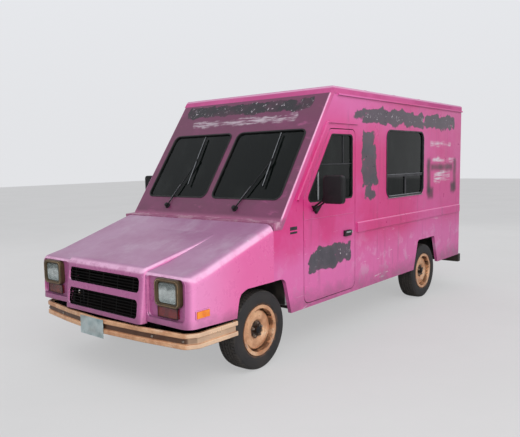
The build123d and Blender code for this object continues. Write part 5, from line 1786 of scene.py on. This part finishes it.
def swell(pad):
    # remeshes the pad and lets air pressure crown it, no point moving further than the cap
    remesh = pad.modifiers.new("remesh", "REMESH")
    remesh.mode = "VOXEL"
    remesh.voxel_size = seatShape["voxel"]
    pad.data = evaluated(pad)
    start = [v.co.copy() for v in pad.data.vertices]
    cloth = pad.modifiers.new("air", "CLOTH")
    cloth.settings.quality = 4
    cloth.settings.mass = seatShape["mass"]
    cloth.settings.tension_stiffness = seatShape["stiffness"]
    cloth.settings.compression_stiffness = seatShape["stiffness"]
    cloth.settings.bending_stiffness = seatShape["bending"]
    cloth.settings.use_pressure = True
    cloth.settings.uniform_pressure_force = seatShape["pressure"]
    cloth.settings.effector_weights.gravity = 0.0
    cloth.collision_settings.use_collision = False
    cloth.point_cache.frame_start = 1
    cloth.point_cache.frame_end = seatShape["frames"]
    scene = bpy.context.scene
    for frameNow in range(1, seatShape["frames"] + 1):
        scene.frame_set(frameNow)
    swollen = evaluated(pad)
    for vertex, before, after in zip(pad.data.vertices, start, swollen.vertices):
        move = after.co - before
        if move.length > seatShape["cap"]:
            move = move * (seatShape["cap"] / move.length)
        vertex.co = before + move
    bpy.data.meshes.remove(swollen)
    scene.frame_set(1)
    smooth = pad.modifiers.new("smooth", "SMOOTH")
    smooth.factor = 0.5
    smooth.iterations = 6
    pad.data = evaluated(pad)
    finer = pad.modifiers.new("finer", "SUBSURF")
    finer.levels = 1
    pad.data = evaluated(pad)
    return pad


def sewPad(pad, size, face, along):
    # crowns one face and sews channels into it between two side bolsters; u and v run from -1
    # to 1 over the face
    thick = size[face[0]] / 2
    half = size[along] / 2
    across = 3 - face[0] - along
    wide = size[across] / 2
    for vertex in pad.data.vertices:
        co = vertex.co
        high = co[face[0]] * face[1]
        if high < thick * 0.15:
            continue
        u = co[across] / wide
        v = co[along] / half
        lift = seatShape["crown"] * max(0.0, 1 - v * v) * max(0.0, 1 - abs(u) ** 3)
        bolster = seatShape["bolster"] * math.exp(-((abs(u) - 0.82) / 0.13) ** 2)
        groove = 0.0
        if abs(u) < 0.66 and abs(v) < 0.90:
            phase = co[along] / seatShape["channelPitch"]
            nearest = abs(phase - round(phase)) * seatShape["channelPitch"]
            groove = seatShape["channelDepth"] * math.exp(-(nearest / 0.0055) ** 2)
        seam = 0.0
        if abs(v) < 0.94:
            seam = seatShape["seamDepth"] * math.exp(-((abs(u) - 0.68) / 0.020) ** 2)
        share = min(1.0, (high - thick * 0.15) / (thick * 0.5))
        co[face[0]] += face[1] * share * (lift + bolster - groove - seam)
    pad.data.update()


def addPiping(pad, size, face):
    # a welt that follows the pad's own surface round one face
    loopAxes = [axis for axis in (0, 1, 2) if axis != face[0]]
    wide, tall = (size[axis] - seatShape["pipingInset"] for axis in loopAxes)
    bm = bmesh.new()
    line = []
    for u, v in roundedLoop(wide, tall, 0.055, 8):
        spot = Vector((0, 0, 0))
        spot[loopAxes[0]] = u
        spot[loopAxes[1]] = v
        spot[face[0]] = face[1] * size[face[0]] / 2
        hit, normal = pad.closest_point_on_mesh(spot)[1:3]
        line.append(hit + normal * 0.0008)
    up = Vector((0, 0, 0))
    up[face[0]] = 1.0
    addTube(bm, line, seatShape["pipingRadius"], 8, closed=True, up=tuple(up))
    return bm


def buildPad(name, size, play, face, turn, spot, flat):
    # swells and sews a pad, moves it to the seat with its welt, and flattens what rests on the base
    pad = swell(padForm([full - less for full, less in zip(size, play)], "padNow"))
    sewPad(pad, size, face, 0)
    bm = addPiping(pad, size, face)
    matrix = Matrix.Translation(spot) @ turn.to_4x4()
    pad.data.transform(matrix)
    if flat is not None:
        for vertex in pad.data.vertices:
            vertex.co.z = max(vertex.co.z, flat)
    for polygon in pad.data.polygons:
        polygon.use_smooth = True
    pad.data.materials.clear()
    pad.data.materials.append(finish["vinyl"])
    pad.name = name
    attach(pad, "van")
    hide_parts("seats")
    bmesh.ops.transform(bm, matrix=matrix, verts=bm.verts)
    finishPiece(bm, name + "Piping", "plastic", smooth=50.0)


def buildSeat(side, flip):
    x = flip * seatShape["middleX"]
    low = seatShape["floor"]
    bm = bmesh.new()
    addBlock(bm, (x, at(1170), low + 0.125), (0.380, 0.380, 0.236), 0.022, steps=4)
    addBlock(bm, (x, at(1170), low + 0.008), (0.420, 0.420, 0.012), 0.004)
    for sx in (-1, 1):
        addBlock(bm, (x + sx * 0.150, at(1160), low + 0.256), (0.030, 0.420, 0.024), 0.004)
        for sy in (-1, 1):
            spot = (x + sx * 0.196, at(1170 + sy * 196), low + 0.013)
            addBolt(bm, spot, (0, 0, 1), 0.016, 0.008)
    finishPiece(bm, "seatBase_" + side, "chassis", replaced=("seats",))
    bm = bmesh.new()
    for sx in (-1, 1):
        outer = x + sx * 0.214
        addHose(bm, [(x + sx * 0.196, 1120, 0.786), (outer, 1330, 0.800), (outer, 1420, 0.900)], 0.011, 10)
    lever = x + flip * 0.150
    addHose(bm, [(lever, 965, 0.768), (lever, 925, 0.766), (x + flip * 0.120, 905, 0.772)], 0.006)
    finishPiece(bm, "seatFrame_" + side, "steel", smooth=40.0)
    station, z = seatShape["cushionAt"]
    buildPad("seatCushion_" + side, seatShape["cushion"], (0.02, 0.02, 0.012), (2, 1),
             Matrix.Identity(3), Vector((x, at(station), z)), seatShape["settledAt"])
    station, z = seatShape["backFoot"]
    size = seatShape["back"]
    lean = Matrix.Rotation(math.radians(-seatShape["backLean"]), 3, "X")
    middle = Vector((x, at(station), z)) + lean @ Vector((0, 0, size[2] / 2))
    buildPad("seatBack_" + side, size, (0.02, 0.012, 0.02), (1, -1), lean, middle, None)


for side, flip in bothSides:
    buildSeat(side, flip)
print("stage: seats built")

# Engine dressing under the tilting clip
engineDetail = {
    "top": 0.780,
    "coverLean": 18,
    "coverRibs": 7,
    # (X, height) of each belt wheel's middle, and the belt round them
    "pulleys": ((0, 0.560), (-0.200, 0.640), (0.190, 0.700)),
    "belt": [(0.0, 0.475), (0.270, 0.680), (0.225, 0.765), (0.150, 0.775), (-0.215, 0.725),
             (-0.285, 0.640), (-0.240, 0.565)],
    "batteryAt": (0.540, -420),
}


def buildEngineDetail():
    top = engineDetail["top"]
    bm = bmesh.new()
    cap = [(0.026, 0), (0.026, 0.020), (0.020, 0.026), (0, 0.026)]
    for flip in (1, -1):
        turn = Matrix.Rotation(math.radians(-flip * engineDetail["coverLean"]), 3, "Y")
        addBlock(bm, (flip * 0.250, at(-290), top + 0.030), (0.150, 0.520, 0.070), 0.018, turn, 4)
        for k in range(engineDetail["coverRibs"]):
            addBlock(bm, (flip * 0.262, at(-500 + k * 70), top + 0.066), (0.110, 0.010, 0.010), 0.003, turn)
        addTurned(bm, (flip * 0.262, at(-80), top + 0.060), (flip * 0.3, 0, 1), cap, 20)
    finishPiece(bm, "rockerCovers", "alloy")
    bm = bmesh.new()
    cleaner = [(0.070, 0), (0.070, 0.050), (0.165, 0.056), (0.175, 0.062), (0.175, 0.112), (0.165, 0.120),
               (0.030, 0.126), (0.012, 0.128), (0.012, 0.140), (0, 0.142)]
    addTurned(bm, (0, at(-300), top - 0.002), (0, 0, 1), cleaner, 48)
    line = [(0.14, -340, top + 0.086), (0.20, -480, top + 0.084), (0.22, -600, top + 0.050)]
    addHose(bm, line, 0.032, 16)
    finishPiece(bm, "airCleaner", "chassis")
    bm = bmesh.new()
    pulley = [(0.030, 0), (0.030, 0.018), (0.085, 0.022), (0.078, 0.030), (0.085, 0.038), (0.020, 0.044),
              (0, 0.046)]
    for x, z in engineDetail["pulleys"]:
        addTurned(bm, (x, at(-602), z), (0, -1, 0), pulley, 32)
    line = [(x, at(-632), z) for x, z in engineDetail["belt"]]
    addTube(bm, line, 0.007, 6, 1.0, closed=True, up=(0, 1, 0))
    # the battery with its tray, posts and legs, then a battery lead and the radiator hose
    x, station = engineDetail["batteryAt"]
    addBlock(bm, (x, at(station), 0.760), (0.180, 0.260, 0.200), 0.008)
    addBlock(bm, (x, at(station), 0.650), (0.210, 0.290, 0.020), 0.004)
    for away in (-80, 80):
        post = [(0.011, 0), (0.009, 0.018), (0, 0.018)]
        addTurned(bm, (0.500, at(station + away), 0.859), (0, 0, 1), post, 14)
    for sx in (-1, 1):
        addBlock(bm, (x + sx * 0.095, at(station), 0.555), (0.020, 0.060, 0.180), 0.003)
    lead = [(0.50, -340, 0.872), (0.44, -250, 0.840), (0.36, -160, 0.800), (0.30, -60, 0.770)]
    addHose(bm, lead, 0.007)
    hose = [(0.12, -745, 0.838), (0.10, -690, 0.850), (0.06, -620, 0.800), (0.04, -560, 0.776)]
    addHose(bm, hose, 0.022, 14)
    finishPiece(bm, "engineFittings", "rubber")


buildEngineDetail()
print("stage: engine dressed")

# Studio: a pale floor, a soft key lamp and an even sky
studio = {
    "floor": rgb(200, 199, 198),
    "floorShade": rgb(194, 193, 192),
    "floorSeen": rgb(240, 240, 241),
    "seenGlow": 0.9,
    "seenShare": 0.55,
    "floorSize": 90.0,
    "skyLow": rgb(232, 233, 236),
    "skyHigh": rgb(246, 249, 255),
    "skyLight": 0.58,
    "skySeen": 0.95,
    "lampSize": 8.5,
    # place, aim and power of each lamp
    "lamps": {
        "keyLight": ((7.0, -4.6, 5.0), (0, -0.2, 0.9), 595.0),
        "fillLight": ((-6.5, -3.5, 4.0), (0, 0, 1.0), 110.0),
        "rimLight": ((-2.0, 7.5, 5.5), (0, 0.5, 1.2), 120.0),
    },
}


def buildFloor():
    # looked at directly the floor glows a little, so that it is as pale as the backdrop
    half = studio["floorSize"] / 2
    corners = [(-half, -half, 0), (half, -half, 0), (half, half, 0), (-half, half, 0)]
    mesh = bpy.data.meshes.new("studioFloor")
    mesh.from_pydata(corners, [], [(0, 1, 2, 3)])
    floor = bpy.data.objects.new("studioFloor", mesh)
    bpy.context.scene.collection.objects.link(floor)
    paint = plainFinish("floorPaint", studio["floor"], studio["floorShade"], 0.7, 0.8, scale=0.5)
    nodes, links = paint.node_tree.nodes, paint.node_tree.links
    out = next(n for n in nodes if n.type == "OUTPUT_MATERIAL")
    body = next(n for n in nodes if n.type == "BSDF_PRINCIPLED")
    glow = newNode("Emission")
    share = newNode("MixShader")
    path = newNode("LightPath")
    glow.inputs["Color"].default_value = studio["floorSeen"]
    glow.inputs["Strength"].default_value = studio["seenGlow"]
    seen = times(path.outputs["Is Camera Ray"], studio["seenShare"])
    links.new(seen, share.inputs[0])
    links.new(body.outputs[0], share.inputs[1])
    links.new(glow.outputs[0], share.inputs[2])
    links.new(share.outputs[0], out.inputs[0])
    mesh.materials.append(paint)


def buildSky():
    # one strength lights the van, a brighter one is seen directly and in the glass
    global tree
    world = bpy.data.worlds.new("studioSky")
    bpy.context.scene.world = world
    world.use_nodes = True
    tree = world.node_tree
    tree.nodes.clear()
    out = newNode("OutputWorld")
    light = newNode("Background")
    seen = newNode("Background")
    mix = newNode("MixShader")
    path = newNode("LightPath")
    coord = newNode("TexCoord")
    split = newNode("SeparateXYZ")
    tree.links.new(coord.outputs["Generated"], split.inputs[0])
    height = remap(split.outputs[2], -0.05, 0.9)
    pale = blend(height, studio["skyLow"], studio["skyHigh"])
    tree.links.new(pale, light.inputs["Color"])
    tree.links.new(pale, seen.inputs["Color"])
    light.inputs["Strength"].default_value = studio["skyLight"]
    seen.inputs["Strength"].default_value = studio["skySeen"]
    looked = calc("MAXIMUM", path.outputs["Is Camera Ray"], path.outputs["Is Transmission Ray"])
    looked = calc("MAXIMUM", looked, times(path.outputs["Is Glossy Ray"], 0.5))
    tree.links.new(looked, mix.inputs[0])
    tree.links.new(light.outputs[0], mix.inputs[1])
    tree.links.new(seen.outputs[0], mix.inputs[2])
    tree.links.new(mix.outputs[0], out.inputs[0])


def buildLights():
    for name, (spot, aim, power) in studio["lamps"].items():
        data = bpy.data.lights.new(name, "AREA")
        data.energy = power
        data.size = studio["lampSize"]
        lamp = bpy.data.objects.new(name, data)
        lamp.location = spot
        lamp.visible_glossy = False
        lamp.rotation_euler = (Vector(aim) - Vector(spot)).to_track_quat("-Z", "Y").to_euler()
        bpy.context.scene.collection.objects.link(lamp)


# the camera that was solved from the photograph: degrees, and pixels of its frame
photoCamera = {
    "place": (3.9127, -3.6933 + frontAxle, 1.7206),
    "yaw": -40.53,
    "pitch": -6.44,
    "roll": -1.14,
    "focal": 585.6,
    "middle": (241.7, 228.7),
    "frame": (520, 437),
    "sensor": 36.0,
}


def buildCamera():
    yaw, pitch, roll = (math.radians(photoCamera[k]) for k in ("yaw", "pitch", "roll"))
    ahead = Vector((math.sin(yaw) * math.cos(pitch), math.cos(yaw) * math.cos(pitch), math.sin(pitch)))
    right = ahead.cross(Vector((0, 0, 1))).normalized()
    up = right.cross(ahead)
    rightRolled = right * math.cos(roll) + up * math.sin(roll)
    upRolled = up * math.cos(roll) - right * math.sin(roll)
    data = bpy.data.cameras.new("photoView")
    wide, high = photoCamera["frame"]
    data.sensor_width = photoCamera["sensor"]
    data.lens = photoCamera["sensor"] * photoCamera["focal"] / wide
    data.shift_x = (wide / 2 - photoCamera["middle"][0]) / wide
    data.shift_y = (photoCamera["middle"][1] - high / 2) / wide
    data.clip_end = 200.0
    camera = bpy.data.objects.new("photoView", data)
    turn = Matrix((rightRolled, upRolled, -ahead)).transposed()
    camera.matrix_world = Matrix.Translation(photoCamera["place"]) @ turn.to_4x4()
    bpy.context.scene.collection.objects.link(camera)
    bpy.context.scene.camera = camera


buildFloor()
buildSky()
buildLights()
buildCamera()
bpy.context.scene.view_settings.view_transform = "Standard"
print("stage: studio and camera ready")
